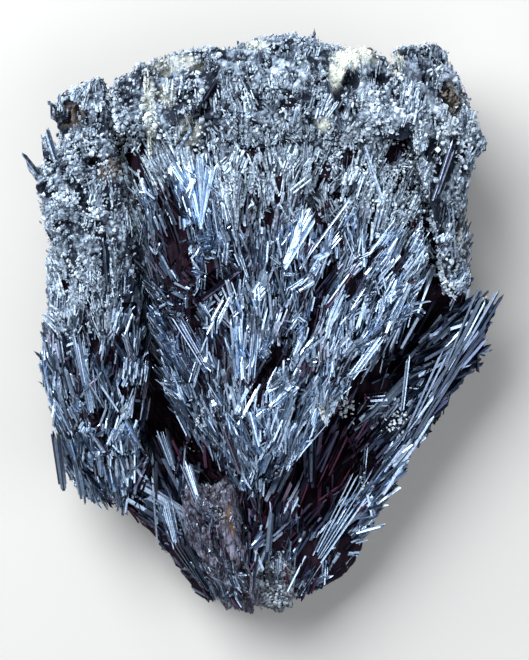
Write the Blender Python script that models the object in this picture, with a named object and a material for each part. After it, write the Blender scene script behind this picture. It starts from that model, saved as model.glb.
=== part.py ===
# Stibnite crystal spray. Three sheaves of prismatic crystals, a dark striated lump at the foot and
# a crumbly altered crust over the upper ends, lying on its back. X runs across the spray, Y from
# its foot to its crown, Z up from the surface that it rests on. The origin is under its middle.
import math
import random

import bmesh
import bpy
from mathutils import Matrix, Vector, noise

MM = 0.001  # every size below is in millimetres

CLEARANCE = 0.3  # between pieces that grow against each other

BED_HEIGHT = 8.6  # where the upper pieces sit on the lower fan, at X = 0
BED_SLOPE = 0.08  # rise of that bed towards +X
LIP_Y = -19.4  # the upper fan ends before this line
HEEL_Y, HEEL_X = -21.4, -13.0  # the left fan reaches down to here, left of HEEL_X

# Planes that part the pieces: a point on the plane and its normal.
BED = ((0, 0, BED_HEIGHT), (-BED_SLOPE, 0, 1))  # lower fan under it
CURTAIN = ((-10.9, -8.0, 10), (-1, -0.175, 0))  # left sheaf and left crust beyond it
CROWN = ((0, 22.0, 16.5), (0, 13.5, 9.0))  # top crust beyond it
FLANK = ((14.0, 31.0, 10), (23, 5.3, 0))  # right crust beyond it
SHOULDER = ((-20, 2.0, 16.4), (0, 8.5, 20))  # left crust over it
FLOOR = ((0, 0, 0), (0, 0, -1))

BOX = 160  # side of the boxes that cut along those planes

ROCK_CUTS, ROCK_ROUNDING, ROCK_ROUGHNESS = 2, 0.5, 0.16  # a block's cuts, its rounding, its broken surface


def clear_scene():
    for item in list(bpy.data.objects):
        bpy.data.objects.remove(item, do_unlink=True)
    for group in list(bpy.data.collections):
        bpy.data.collections.remove(group)


def add_collection(name):
    group = bpy.data.collections.new(name)
    bpy.context.scene.collection.children.link(group)
    return group


def add_object(name, bm, group):
    bmesh.ops.scale(bm, vec=(MM, MM, MM), verts=bm.verts)
    bmesh.ops.recalc_face_normals(bm, faces=bm.faces)
    bmesh.ops.triangulate(bm, faces=bm.faces)  # flat faces cut cleanly, twisted ones don't
    mesh = bpy.data.meshes.new(name)
    bm.to_mesh(mesh)
    bm.free()
    item = bpy.data.objects.new(name, mesh)
    group.objects.link(item)
    return item


def add_cutter(name, bm):
    item = add_object(name, bm, cutters)
    item.hide_render = True
    item.display_type = "WIRE"
    return item


def material(name, colour, roughness, metallic):
    made = bpy.data.materials.new(name)
    made.use_nodes = True
    shader = made.node_tree.nodes["Principled BSDF"]
    shader.inputs["Base Color"].default_value = (*colour, 1)
    shader.inputs["Roughness"].default_value = roughness
    shader.inputs["Metallic"].default_value = metallic
    return made


def in_order(verts):
    """The same order on every run, for what draws random numbers vertex by vertex."""
    return sorted(verts, key=lambda vert: tuple(round(value, 5) for value in vert.co))


# ---- sheaf bodies -----------------------------------------------------------------------------


def along(values, t):
    """Value at t, from 0 to 1, of a list of evenly spaced numbers or points."""
    place = min(max(t, 0), 1) * (len(values) - 1)
    first = min(int(place), len(values) - 2)
    part = place - first
    a, b = values[first], values[first + 1]
    if isinstance(a, (tuple, list)):
        return tuple(p + (q - p) * part for p, q in zip(a, b))
    return a + (b - a) * part


class Sheaf:
    """A body between two rails that run from root to crown, with tables of its heights."""

    def __init__(self, left, right, top, bottom, bow=0.0, ridge=0.5, ridges=7, seed=0):
        self.left, self.right = left, right
        self.top_rows, self.bottom_rows = top, bottom
        self.bow, self.ridge, self.ridges, self.seed = bow, ridge, ridges, seed

    def spot(self, u, t):
        """Plan position at u from -1 (left rail) to 1 (right rail), t from 0 to 1 or past it."""
        a = Vector(along(self.left, t))
        b = Vector(along(self.right, t))
        place = a.lerp(b, (u + 1) / 2)
        if t > 1:
            step = Vector(along(self.left, 1)) - Vector(along(self.left, 0.8))
            other = Vector(along(self.right, 1)) - Vector(along(self.right, 0.8))
            place += step.lerp(other, (u + 1) / 2) * (t - 1) * 5
        place.y += self.bow * (1 - u * u) * t
        return place

    def height(self, table, u, t):
        row = along([tuple(line) for line in table], t)
        level = along(list(row), (u + 1) / 2)
        rib = noise.noise(Vector((u * self.ridges, t * 1.7, self.seed + 0.3 * (table is self.bottom_rows))))
        return level + rib * 2 * self.ridge

    def top(self, u, t):
        place = self.spot(u, t)
        return Vector((place.x, place.y, self.height(self.top_rows, u, t)))

    def bottom(self, u, t):
        place = self.spot(u, t)
        return Vector((place.x, place.y, self.height(self.bottom_rows, u, t)))

    def body(self, columns, rows, zigzag, jag, rng):
        """Closed solid: a grid laid between the rails, extruded from the underside to the top.

        Its columns rise and fall by turns by zigzag, like packed prisms, and its rim is broken by jag.
        """
        bm = bmesh.new()
        bmesh.ops.create_grid(bm, x_segments=columns, y_segments=rows, size=1)
        under = list(bm.verts)
        lifted = bmesh.ops.extrude_face_region(bm, geom=list(bm.faces))["geom"]
        over = [item for item in lifted if isinstance(item, bmesh.types.BMVert)]
        ends = [rng.uniform(-jag, jag) / 40 for _ in range(columns + 1)]
        for verts, surface, way in ((under, self.bottom, -1), (over, self.top, 1)):
            for vert in verts:
                column = round((vert.co.x + 1) / 2 * columns)
                t = (vert.co.y + 1) / 2
                turn = way if column % 2 else -way
                rise = zigzag * turn * (0.7 + 0.9 * noise.noise(Vector((column * 5.1, t * 2.3, self.seed))))
                end = ends[column] if t > 0.99 or t < 0.01 else 0
                vert.co = surface(math.sin(vert.co.x * math.pi / 2), min(t, 1) + end)
                vert.co.z += rise
        low = set(under)
        walls = [edge for edge in bm.edges if (edge.verts[0] in low) != (edge.verts[1] in low)]
        cut = bmesh.ops.subdivide_edges(bm, edges=walls, cuts=1)["geom_inner"]
        bmesh.ops.recalc_face_normals(bm, faces=bm.faces)
        for vert in in_order(item for item in cut if isinstance(item, bmesh.types.BMVert)):
            vert.co += vert.normal * rng.uniform(-0.3, 1) * jag + Vector((0, 0, rng.uniform(-0.5, 0.5) * jag))
        return bm


# ---- crystals, lumps and pits -----------------------------------------------------------------


def add_crystal(bm, root, tip, width, rng):
    """Prism with a flattened section of four or five faces and a slanting point."""
    root, tip = Vector(root), Vector(tip)
    axis = tip - root
    point = min(width * rng.uniform(0.7, 1.8), axis.length * 0.3)
    sides = rng.choice((4, 4, 4, 5))
    shaft = bmesh.ops.create_cone(
        bm, cap_ends=True, cap_tris=False, segments=sides,
        radius1=width * 0.46, radius2=width * 0.5, depth=axis.length - point,
    )["verts"]
    crown = max(
        {face for vert in shaft for face in vert.link_faces}, key=lambda face: face.calc_center_median().z
    )
    peak = bmesh.ops.poke(bm, faces=[crown])["verts"]
    peak[0].co += Vector((width * rng.uniform(-0.25, 0.25), 0, point))
    verts = shaft + peak
    turn = axis.to_track_quat("Z", "Y").to_matrix().to_4x4()
    flat = Matrix.Diagonal((1.15, 0.8, 1, 1))
    roll = Matrix.Rotation(rng.uniform(0, math.pi), 4, "Z")
    shift = Matrix.Translation((0, 0, (axis.length - point) / 2))
    bmesh.ops.transform(bm, matrix=Matrix.Translation(root) @ turn @ shift @ roll @ flat, verts=verts)


def lay_crystals(bm, sheaf, count, rng, u_range, t_range, length, width, lift, way=1):
    """Crystals that follow the sheaf's lines, over its top or (way -1) under it, sunk at the root."""
    surface = sheaf.top if way > 0 else sheaf.bottom
    for number in range(count):
        u = u_range[0] + (u_range[1] - u_range[0]) * (number + rng.uniform(0.1, 0.9)) / count
        t = rng.uniform(*t_range)
        root = surface(u, t)
        ahead = surface(u + rng.uniform(-0.05, 0.05), t + 0.12)
        reach = rng.uniform(*length)
        thick = rng.uniform(*width)
        tip = root + (ahead - root).normalized() * reach
        root.z -= way * thick * 0.9
        tip.z += way * rng.uniform(*lift)
        add_crystal(bm, root, tip, thick, rng)


def line_sides(bm, sheaf, count, rng, u, t_range, length, width):
    """Crystals along the flank at the rail u, half sunk in it."""
    for number in range(count):
        t = t_range[0] + (t_range[1] - t_range[0]) * (number + rng.uniform(0.2, 0.8)) / count
        share = rng.uniform(0.2, 0.75)
        ahead_t = t + 0.1
        root = sheaf.bottom(u, t).lerp(sheaf.top(u, t), share)
        ahead = sheaf.bottom(u * 1.02, ahead_t).lerp(sheaf.top(u * 1.02, ahead_t), share)
        reach = rng.uniform(*length)
        side = Vector((math.copysign(0.5, u), 0, 0))
        tip = root + (ahead - root).normalized() * reach + side * rng.uniform(0.5, 2.4)
        add_crystal(bm, root + side * 0.2, tip, rng.uniform(*width), rng)


def add_blades(bm, blades, rng):
    """Crystals given one by one as root, tip and width."""
    for root, tip, width in blades:
        add_crystal(bm, root, tip, width, rng)


def add_lump(bm, centre, size, rng, detail=1):
    lump = bmesh.ops.create_icosphere(bm, subdivisions=detail, radius=1)["verts"]
    for vert in in_order(lump):
        vert.co *= rng.uniform(0.82, 1.18)
    turn = Matrix.Rotation(rng.uniform(0, 6.28), 4, Vector((rng.random(), rng.random(), 1)).normalized())
    stretch = Matrix.Diagonal((size[0] / 2, size[1] / 2, size[2] / 2, 1))
    bmesh.ops.transform(bm, matrix=Matrix.Translation(centre) @ stretch @ turn, verts=lump)


def crumble(bm, sheaf, count, rng, size, sink=0.3):
    """Lumps strewn over the top and the outer edge of a crust."""
    for number in range(count):
        u = rng.uniform(-0.95, 0.95)
        t = (number + rng.uniform(0.1, 0.9)) / count
        reach = rng.uniform(*size)
        centre = sheaf.top(u, t) - Vector((0, 0, reach * sink))
        add_lump(bm, centre, (reach, reach * rng.uniform(0.7, 1.1), reach * rng.uniform(0.6, 0.9)), rng)


def add_rock(bm, centre, size, lean, taper, seed, grow=0.0):
    """Angular rock: a subdivided block, part rounded, with a broken surface.

    It leans by this many degrees in plan, and narrows to its foot by the share taper.
    """
    before = set(bm.verts)
    block = bmesh.ops.create_cube(bm, size=2)["verts"]
    edges = [edge for edge in bm.edges if edge.verts[0] in block and edge.verts[1] in block]
    bmesh.ops.subdivide_edges(bm, edges=edges, cuts=ROCK_CUTS, use_grid_fill=True)
    verts = [vert for vert in bm.verts if vert not in before]
    for vert in verts:
        ball = vert.co.normalized() * 1.25
        vert.co = vert.co.lerp(ball, ROCK_ROUNDING)
        broken = 1 + ROCK_ROUGHNESS * noise.noise(vert.co * 1.6 + Vector((seed, 0, 0))) * 2
        vert.co = Vector([vert.co[i] * broken * size[i] / 2 for i in range(3)])
        vert.co.x *= 1 - taper * (0.5 - vert.co.y / size[1])
    turn = Matrix.Translation(centre) @ Matrix.Rotation(math.radians(lean), 4, "Z")
    bmesh.ops.transform(bm, matrix=turn, verts=verts)
    bmesh.ops.triangulate(bm, faces=list({face for vert in verts for face in vert.link_faces}))
    bm.normal_update()
    for vert in verts:
        vert.co += vert.normal * grow * vert.calc_shell_factor()


# ---- joining and parting ----------------------------------------------------------------------


def boolean(item, operation, other, itself=False):
    change = item.modifiers.new(operation.title() + " " + other.name, "BOOLEAN")
    change.operation = operation
    change.object = other
    change.solver = "EXACT"
    change.use_self = itself


def part_along(item, plane, keep):
    """Cut away what lies past the plane (keep -1) or short of it (keep 1), half the gap from it."""
    point, normal = Vector(plane[0]), Vector(plane[1]).normalized() * -keep
    bm = bmesh.new()
    bmesh.ops.create_cube(bm, size=BOX)
    turn = normal.to_track_quat("Z", "Y").to_matrix().to_4x4()
    away = 0 if plane is FLOOR else CLEARANCE / 2
    place = Matrix.Translation(point + normal * (BOX / 2 - away))
    bmesh.ops.transform(bm, matrix=place @ turn, verts=bm.verts)
    boolean(item, "DIFFERENCE", add_cutter(item.name + "_side_%d" % len(item.modifiers), bm))


def islands(bm):
    """The mesh's separate shells, each as a list of its vertices."""
    left = set(bm.verts)
    while left:
        shell, edge = [], [left.pop()]
        while edge:
            vert = edge.pop()
            shell.append(vert)
            near = {link.other_vert(vert) for link in vert.link_edges} & left
            left -= near
            edge.extend(near)
        yield shell


def volume(shell):
    faces = {face for vert in shell for face in vert.link_faces}
    return sum(face.verts[0].co.dot(face.normal) * face.calc_area() / 3 for face in faces)


def settle(item):
    """Fix the Booleans in the mesh, and drop loose chips and sealed pockets between crystals."""
    seen = item.evaluated_get(bpy.context.evaluated_depsgraph_get())
    mesh = bpy.data.meshes.new_from_object(seen)
    bm = bmesh.new()
    bm.from_mesh(mesh)
    bpy.data.meshes.remove(mesh)
    bm.normal_update()
    shells = sorted(islands(bm), key=volume)
    bmesh.ops.delete(bm, geom=[vert for shell in shells[:-1] for vert in shell], context="VERTS")
    item.modifiers.clear()
    bm.to_mesh(item.data)
    bm.free()
    return item


def finish_piece(name, body, grown, pits, sides, look):
    item = add_object(name, body, spray)
    item.data.materials.append(look)
    if grown is not None:
        boolean(item, "UNION", add_cutter(name + "_growth", grown), itself=True)
    if pits is not None:
        boolean(item, "DIFFERENCE", add_cutter(name + "_pits", pits), itself=True)
    for plane, keep in sides:
        part_along(item, plane, keep)
    return item


# ---- the sheaves ------------------------------------------------------------------------------

LOWER = Sheaf(
    left=[(-7.2, -31), (-9.6, -27.2), (-13.6, -21.8), (-19, -17), (-21.8, -10.6), (-23.2, -4),
          (-22.6, 3), (-22.8, 11), (-22, 19), (-16.6, 26)],
    right=[(4.6, -30.8), (9.8, -28), (12.4, -22.6), (14.6, -17), (18, -11.4), (22, -5),
           (23, 1.4), (21.6, 9), (22, 17), (19, 26)],
    top=[(5, 8.6, 9.4, 8.4, 5), (6.5, 9.8, 10.4, 9.2, 7), (6.4, 7, 6.4, 6.6, 8.2),
         (6.8, 6.6, 6.2, 7, 9), (7.6, 9, 9.4, 9.8, 9.6), (7.6, 9, 10, 10.6, 10.8), (7.6, 9, 10, 10.8, 11)],
    bottom=[(3, 1, 0.6, 1, 3), (4, 0.2, -0.8, 0.2, 4), (4, -0.4, -1.2, -0.4, 4.6), (4, -0.4, -1.2, -0.4, 5),
            (3.6, -0.2, -1, -0.2, 4), (3, 1.2, 0.8, 1.2, 3)],
    bow=2.6, ridge=0.5, ridges=8, seed=3,
)
UPPER = Sheaf(
    left=[(-2.6, -17.0), (-6.4, -12.4), (-10.2, -8.0), (-11.8, -3.0), (-12.9, 3), (-13.9, 9.5),
          (-15.0, 16), (-16.0, 27)],
    right=[(0.4, -17.2), (3.4, -14.4), (7.2, -10.0), (10.2, -5.0), (13.6, -1.0), (17.8, 4.5),
           (18.8, 12), (15, 27)],
    top=[(12.6, 14.4, 15, 14.4, 12.6), (12.6, 17, 18.4, 17, 12.8), (13.5, 19, 20.4, 18.6, 13.2),
         (14, 19.6, 21.2, 19.2, 13.6), (15, 20, 21.6, 19.8, 14.6), (15, 19.6, 21, 19.6, 15)],
    bottom=[(11.4, 11, 11, 11.2, 11.6), (9.6, 8.4, 8, 8.8, 10.4), (7.6, 7.2, 7.2, 7.8, 9),
            (6.6, 7, 7, 7.4, 8.4), (6.6, 7, 7, 7.4, 8.4), (6.6, 7, 7, 7.4, 8.4)],
    bow=1.5, ridge=0.7, ridges=8, seed=11,
)
LEFT = Sheaf(
    left=[(-19.6, -19.4), (-21.8, -15.5), (-22.9, -9.5), (-24.2, -4), (-23.5, 2), (-23.2, 9),
          (-23.6, 17), (-22, 24)],
    right=[(-15.2, -20), (-13.4, -16), (-13.2, -11), (-12.4, -5), (-12.4, 1.5), (-13.2, 8),
           (-14.2, 15), (-15.4, 24)],
    top=[(8, 10, 11, 11, 9.4), (10, 13, 14.2, 13.8, 11), (11, 14.6, 15.8, 15.4, 13),
         (11.5, 15, 16.2, 16, 14), (11, 14, 15, 15, 13), (10, 12, 13, 13, 12)],
    bottom=[(6.6, 6, 6, 6.4, 7.4), (6, 5.4, 5.4, 5.8, 6.4), (5.8, 5, 5, 5, 5), (5.8, 5, 5, 5, 5)],
    bow=0.4, ridge=0.5, ridges=5, seed=23,
)
TOP_CRUST = Sheaf(
    left=[(-14.8, 17.5), (-16.2, 22), (-15.8, 27.4)],
    right=[(17.2, 17.8), (16.4, 22.5), (14.4, 29.4)],
    top=[(17.2, 20.6, 21.2, 20.2, 18.4), (18.6, 21.6, 22.8, 21.8, 19.6), (14.5, 17.8, 19.6, 18.8, 15.5)],
    bottom=[(14, 14, 14, 14, 14), (6.6, 7, 7.4, 7.6, 8), (9.2, 7.6, 7.4, 7.6, 9)],
    bow=2.4, ridge=0.6, ridges=6, seed=31,
)
LEFT_CRUST = Sheaf(
    left=[(-21.5, 1.5), (-23.4, 7.5), (-24.4, 12.6), (-24.6, 17.0), (-21.0, 20.6), (-23.3, 25.4), (-19.8, 26.8)],
    right=[(-12.4, 1.5), (-13.4, 7.5), (-14.4, 12.5), (-15.2, 17.5), (-15.8, 21), (-16, 24), (-16, 27)],
    top=[(12.4, 15.6, 16.4, 16.8, 16.2), (13, 16.8, 17.8, 18, 17.4), (12.4, 16, 17.2, 17.6, 17),
         (11.5, 14.4, 15.6, 16.2, 15.8)],
    bottom=[(10, 10, 10, 10, 10), (8, 7, 7, 7, 7), (7.4, 6.4, 6.4, 6.4, 6.4), (8.4, 6.6, 6.4, 6.4, 6.6)],
    bow=0, ridge=0.5, ridges=4, seed=41,
)
RIGHT_CRUST = Sheaf(
    left=[(17, 3.2), (15.6, 10), (14, 17), (13, 24), (12.6, 30.2)],
    right=[(22, 3.2), (22.2, 9.6), (22.2, 15.4), (24, 21.4), (20.4, 30)],
    top=[(14, 14, 13.8, 13.4, 12.2), (16.6, 16.4, 16, 15, 12.8), (19.2, 19, 18, 16.4, 13.6),
         (20.2, 20, 19.2, 17.4, 14.2), (17, 17.4, 17, 15.6, 13)],
    bottom=[(8, 8, 8, 8.4, 9), (7, 7, 7, 7.6, 8.4)],
    bow=0.4, ridge=0.5, ridges=4, seed=53,
)


# The dark lump at the foot, and the pale crumbly block that sits against it.
FOOT_ROCKS = (
    {"centre": (-4.2, -24.5, 6.2), "size": (6.0, 13.8, 9.6), "lean": 18, "taper": 0.4, "seed": 5},
    {"centre": (1.3, -28.2, 6.2), "size": (5.6, 5.8, 6.2), "lean": -8, "taper": 0.15, "seed": 9},
)


def cut_bed(item, front, side):
    """Clear the bed that the upper pieces sit on, behind the line Y = front and left of X = side."""
    bm = bmesh.new()
    bmesh.ops.create_cube(bm, size=BOX)
    tilt = Matrix.Rotation(-math.atan(BED_SLOPE), 4, "Y")
    low = BED_HEIGHT + BED_SLOPE * (side - BOX / 2) - CLEARANCE / 2
    place = Matrix.Translation((side - BOX / 2, front + BOX / 2, low)) @ tilt
    bmesh.ops.transform(bm, matrix=place @ Matrix.Translation((0, 0, BOX / 2)), verts=bm.verts)
    boolean(item, "DIFFERENCE", add_cutter("lower_fan_bed_%d" % len(item.modifiers), bm))


def lower_fan(look):
    rng = random.Random(7)
    grown = bmesh.new()
    lay_crystals(grown, LOWER, 12, rng, (-0.9, 0.95), (0.02, 0.12), (6, 10), (1.2, 1.9), (0.2, 1.0))
    lay_crystals(grown, LOWER, 10, rng, (0.3, 0.98), (0.14, 0.3), (7, 12), (1.0, 1.6), (0.0, 0.8))
    lay_crystals(grown, LOWER, 7, rng, (-0.75, -0.1), (0.12, 0.26), (5, 8), (1.1, 1.7), (0.2, 0.8))
    lay_crystals(grown, LOWER, 6, rng, (-0.6, -0.1), (0.28, 0.36), (4, 7), (1.1, 1.7), (0.4, 1.2))
    lay_crystals(grown, LOWER, 4, rng, (-0.95, -0.5), (0.1, 0.7), (7, 11), (1.6, 2.4), (0.2, 0.8), way=-1)
    lay_crystals(grown, LOWER, 5, rng, (0.5, 0.95), (0.1, 0.7), (7, 11), (1.6, 2.4), (0.2, 0.8), way=-1)
    line_sides(grown, LOWER, 3, rng, -1, (0.35, 0.9), (5, 8), (1.4, 2.0))
    line_sides(grown, LOWER, 3, rng, 1, (0.5, 0.9), (5, 8), (1.4, 2.0))
    wing = [
        ((9.0, -25.5, 6.5), (15.7, -16.4, 8.2), 1.6), ((10.5, -22.0, 7.6), (17.6, -12.8, 9.0), 1.5),
        ((11.0, -19.0, 8.2), (19.4, -10.2, 9.4), 1.4), ((12.8, -17.0, 8.4), (21.4, -6.2, 9.4), 1.7),
        ((14.2, -14.4, 8.8), (23.4, -3.4, 9.6), 1.5), ((15.4, -12.0, 9.0), (25.2, -1.8, 9.2), 1.7),
        ((16.4, -9.6, 9.0), (26.2, 1.2, 9.4), 1.4), ((17.2, -7.4, 9.0), (26.3, 3.2, 9.0), 1.6),
        ((18.0, -4.8, 9.0), (25.8, 4.7, 9.2), 1.4), ((17.0, -3.0, 8.8), (23.6, 4.4, 9.4), 1.3),
        ((16.0, -10.8, 6.4), (25.6, -0.4, 6.6), 1.8), ((12.5, -18.6, 5.4), (21.6, -6.8, 6.2), 1.8),
        ((10.0, -24.0, 4.4), (16.4, -14.4, 5.4), 1.8), ((6.4, -27.4, 5.4), (13.6, -20.4, 6.4), 1.6),
        ((3.0, -20.0, 6.6), (8.4, -11.6, 8.0), 1.5), ((5.6, -19.4, 6.6), (12.4, -10.4, 8.4), 1.6),
        ((7.8, -20.4, 6.8), (15.4, -9.8, 8.8), 1.4), ((0.6, -21.0, 7.0), (3.6, -13.6, 7.8), 1.4),
    ]
    foot = [
        ((-3.0, -24.0, 3.6), (-1.8, -32.7, 4.6), 2.4), ((-0.6, -24.6, 3.4), (-0.4, -32.8, 2.8), 2.0),
        ((-5.6, -24.0, 4.0), (-7.6, -31.4, 4.4), 2.0), ((3.4, -24.6, 4.0), (4.6, -31.3, 4.4), 2.2),
        ((6.6, -24.4, 5.0), (10.2, -28.9, 5.6), 1.8), ((-8.0, -23.6, 5.0), (-9.8, -28.6, 5.6), 1.8),
        ((1.6, -26.0, 2.4), (1.2, -31.8, 1.8), 2.0), ((-10.0, -20.0, 4.6), (-13.4, -23.6, 5.0), 1.6),
    ]
    under = [
        ((-10.0, -14.0, 3.0), (-15.6, -20.8, 4.0), 2.0), ((-16.0, -11.4, 4.0), (-20.8, -17.8, 4.8), 1.8),
        ((-18.6, -4.4, 4.0), (-24.4, -9.0, 4.6), 1.8), ((-16.0, 17.0, 3.8), (-22.6, 22.6, 4.8), 1.8),
        ((-9.0, 20.0, 4.2), (-12.4, 28.8, 5.2), 2.0), ((-3.0, 20.0, 4.0), (-4.6, 30.6, 5.0), 2.0),
        ((4.0, 20.0, 4.4), (4.8, 30.9, 5.2), 2.2), ((10.0, 20.0, 4.4), (13.0, 28.8, 5.2), 2.0),
        ((15.0, 21.0, 5.6), (19.4, 28.6, 6.6), 1.8), ((-14.0, 21.0, 5.0), (-18.2, 27.0, 5.6), 1.8),
    ]
    add_blades(grown, wing + foot + under, rng)
    body = LOWER.body(15, 9, 0.5, 0.9, rng)
    item = finish_piece("lower_fan", body, grown, None, [(FLOOR, -1)], look)
    cut_bed(item, LIP_Y, BOX / 2)
    cut_bed(item, HEEL_Y, HEEL_X)
    for rock in FOOT_ROCKS:
        socket = bmesh.new()
        add_rock(socket, **rock, grow=CLEARANCE)
        boolean(item, "DIFFERENCE", add_cutter("lower_fan_socket_%d" % rock["seed"], socket))
    return item


def upper_fan(look):
    rng = random.Random(19)
    grown = bmesh.new()
    lay_crystals(grown, UPPER, 12, rng, (-0.85, 0.9), (0.02, 0.1), (5, 8), (1.0, 1.6), (0.2, 0.8))
    lay_crystals(grown, UPPER, 15, rng, (-0.9, 0.95), (0.14, 0.34), (6, 11), (1.0, 1.7), (0.2, 1.1))
    lay_crystals(grown, UPPER, 16, rng, (-0.9, 0.95), (0.36, 0.6), (7, 12), (1.0, 1.7), (0.1, 1.0))
    lay_crystals(grown, UPPER, 12, rng, (-0.9, 0.95), (0.6, 0.78), (6, 9), (0.9, 1.5), (0.1, 0.8))
    flank = [
        ((2.0, -12.0, 13.0), (7.4, -9.8, 13.6), 1.4), ((5.0, -8.4, 13.0), (10.6, -5.0, 13.0), 1.5),
        ((7.4, -4.6, 12.6), (14.0, -0.8, 12.4), 1.5), ((10.4, -1.0, 12.4), (17.8, 3.8, 12.0), 1.5),
        ((13.0, 2.6, 12.2), (19.6, 9.4, 12.0), 1.4), ((-5.0, -11.0, 12.6), (-1.6, -18.8, 13.0), 1.5),
        ((-1.6, -11.0, 13.6), (-0.6, -19.0, 13.6), 1.5), ((1.0, -12.0, 13.0), (1.6, -18.2, 12.6), 1.4),
        ((-6.0, -7.0, 12.6), (-8.8, -11.4, 12.6), 1.4), ((-8.0, -2.0, 12.4), (-11.8, -6.4, 12.0), 1.4),
    ]
    add_blades(grown, flank, rng)
    sides = [(BED, 1), (CURTAIN, -1), (CROWN, -1), (FLANK, -1)]
    return finish_piece("upper_fan", UPPER.body(17, 8, 0.6, 0.6, rng), grown, None, sides, look)


def left_fan(look):
    rng = random.Random(29)
    grown = bmesh.new()
    lay_crystals(grown, LEFT, 7, rng, (-0.9, 0.9), (0.02, 0.12), (6, 9), (1.0, 1.7), (0.2, 0.9))
    lay_crystals(grown, LEFT, 8, rng, (-0.9, 0.9), (0.2, 0.42), (6, 11), (1.0, 1.6), (0.1, 0.9))
    roots = [
        ((-19.2, -12.0, 10.0), (-20.6, -17.8, 8.6), 2.2), ((-21.0, -9.0, 9.6), (-22.3, -16.6, 8.2), 1.5),
        ((-17.4, -13.0, 10.4), (-17.8, -21.0, 8.8), 1.7), ((-15.4, -13.0, 10.4), (-14.8, -20.9, 9.0), 1.6),
        ((-14.0, -12.0, 10.6), (-12.6, -18.4, 9.8), 1.4), ((-21.6, -2.0, 9.4), (-24.9, -6.4, 8.8), 1.5),
        ((-21.4, 3.0, 9.0), (-25.2, -1.4, 9.2), 1.5), ((-21.0, 8.0, 9.0), (-24.6, 12.0, 9.0), 1.5),
    ]
    add_blades(grown, roots, rng)
    sides = [(BED, 1), (CURTAIN, 1), (SHOULDER, -1)]
    return finish_piece("left_fan", LEFT.body(8, 7, 0.5, 0.6, rng), grown, None, sides, look)


def base_matrix(look):
    dark, pale = bmesh.new(), bmesh.new()
    add_rock(dark, **FOOT_ROCKS[0])
    add_rock(pale, **FOOT_ROCKS[1])
    return finish_piece("base_matrix", dark, pale, None, [(FLOOR, -1)], look)


def crust(name, sheaf, columns, rows, lumps, pits, blades, sides, look, seed):
    rng = random.Random(seed)
    grown, holes = bmesh.new(), bmesh.new()
    crumble(grown, sheaf, lumps, rng, (2.0, 4.4))
    add_blades(grown, blades, rng)
    for centre, size in pits:
        add_lump(holes, centre, size, rng)
    body = sheaf.body(columns, rows, 0.35, 1.0, rng)
    for vert in in_order(body.verts):
        vert.co += Vector([rng.uniform(-0.35, 0.35) for _ in range(3)])
    return finish_piece(name, body, grown, holes, sides, look)


clear_scene()
spray = add_collection("stibnite_spray")
cutters = add_collection("cutters")
stibnite = material("stibnite", (0.16, 0.2, 0.26), 0.28, 0.9)
dark_rock = material("dark_rock", (0.05, 0.05, 0.07), 0.6, 0.3)
grey_crust = material("grey_crust", (0.32, 0.34, 0.36), 0.85, 0.0)

lower_fan(stibnite)
upper_fan(stibnite)
left_fan(stibnite)
base_matrix(dark_rock)
crust(
    "top_crust", TOP_CRUST, 12, 5, 14,
    [((8.4, 26.0, 21.4), (1.8, 3.6, 3.4)), ((9.8, 29.4, 19.8), (2.0, 2.0, 3.0)),
     ((-5.6, 24.0, 22.0), (1.6, 5.0, 2.6)), ((12.9, 27.0, 18.6), (2.2, 2.0, 3.0))],
    [((9.6, 21.0, 20.6), (9.4, 26.4, 21.8), 1.2), ((-2.0, 26.0, 14.0), (-2.6, 32.0, 14.6), 1.6),
     ((5.0, 26.0, 16.0), (5.9, 32.8, 17.0), 1.8), ((-10.0, 24.0, 12.0), (-12.6, 29.8, 12.4), 1.8)],
    [(BED, 1), (CURTAIN, -1), (CROWN, 1), (FLANK, -1)], grey_crust, 61,
)
crust(
    "left_crust", LEFT_CRUST, 6, 8, 10,
    [((-20.6, 23.0, 15.6), (3.0, 3.4, 3.0)), ((-17.2, 5.0, 17.4), (1.1, 5.4, 3.0)),
     ((-20.4, 12.0, 17.4), (1.8, 2.2, 2.4))],
    [((-22.6, 13.0, 12.0), (-26.3, 19.2, 12.4), 1.6), ((-22.4, 14.5, 12.6), (-24.0, 21.9, 13.4), 1.7),
     ((-20.6, 20.0, 12.0), (-23.4, 25.4, 13.0), 1.8)],
    [(BED, 1), (CURTAIN, 1), (SHOULDER, 1)], grey_crust, 67,
)
crust(
    "right_crust", RIGHT_CRUST, 6, 8, 12,
    [((20.8, 24.6, 16.4), (2.4, 3.2, 3.0)), ((18.8, 19.0, 17.0), (2.0, 2.2, 2.8)),
     ((22.0, 12.0, 13.6), (2.0, 2.4, 2.4))],
    [((20.4, 14.0, 12.6), (24.0, 19.4, 12.8), 1.6), ((18.4, 24.0, 14.0), (20.8, 30.8, 14.4), 1.8),
     ((20.6, 3.4, 12.0), (23.8, 6.0, 12.2), 1.6)],
    [(BED, 1), (FLANK, 1)], grey_crust, 71,
)
for piece in spray.objects:
    settle(piece)
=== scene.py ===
import math

import bmesh
import bpy
import numpy as np
from mathutils import Matrix, Vector, noise
from mathutils.bvhtree import BVHTree


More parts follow.
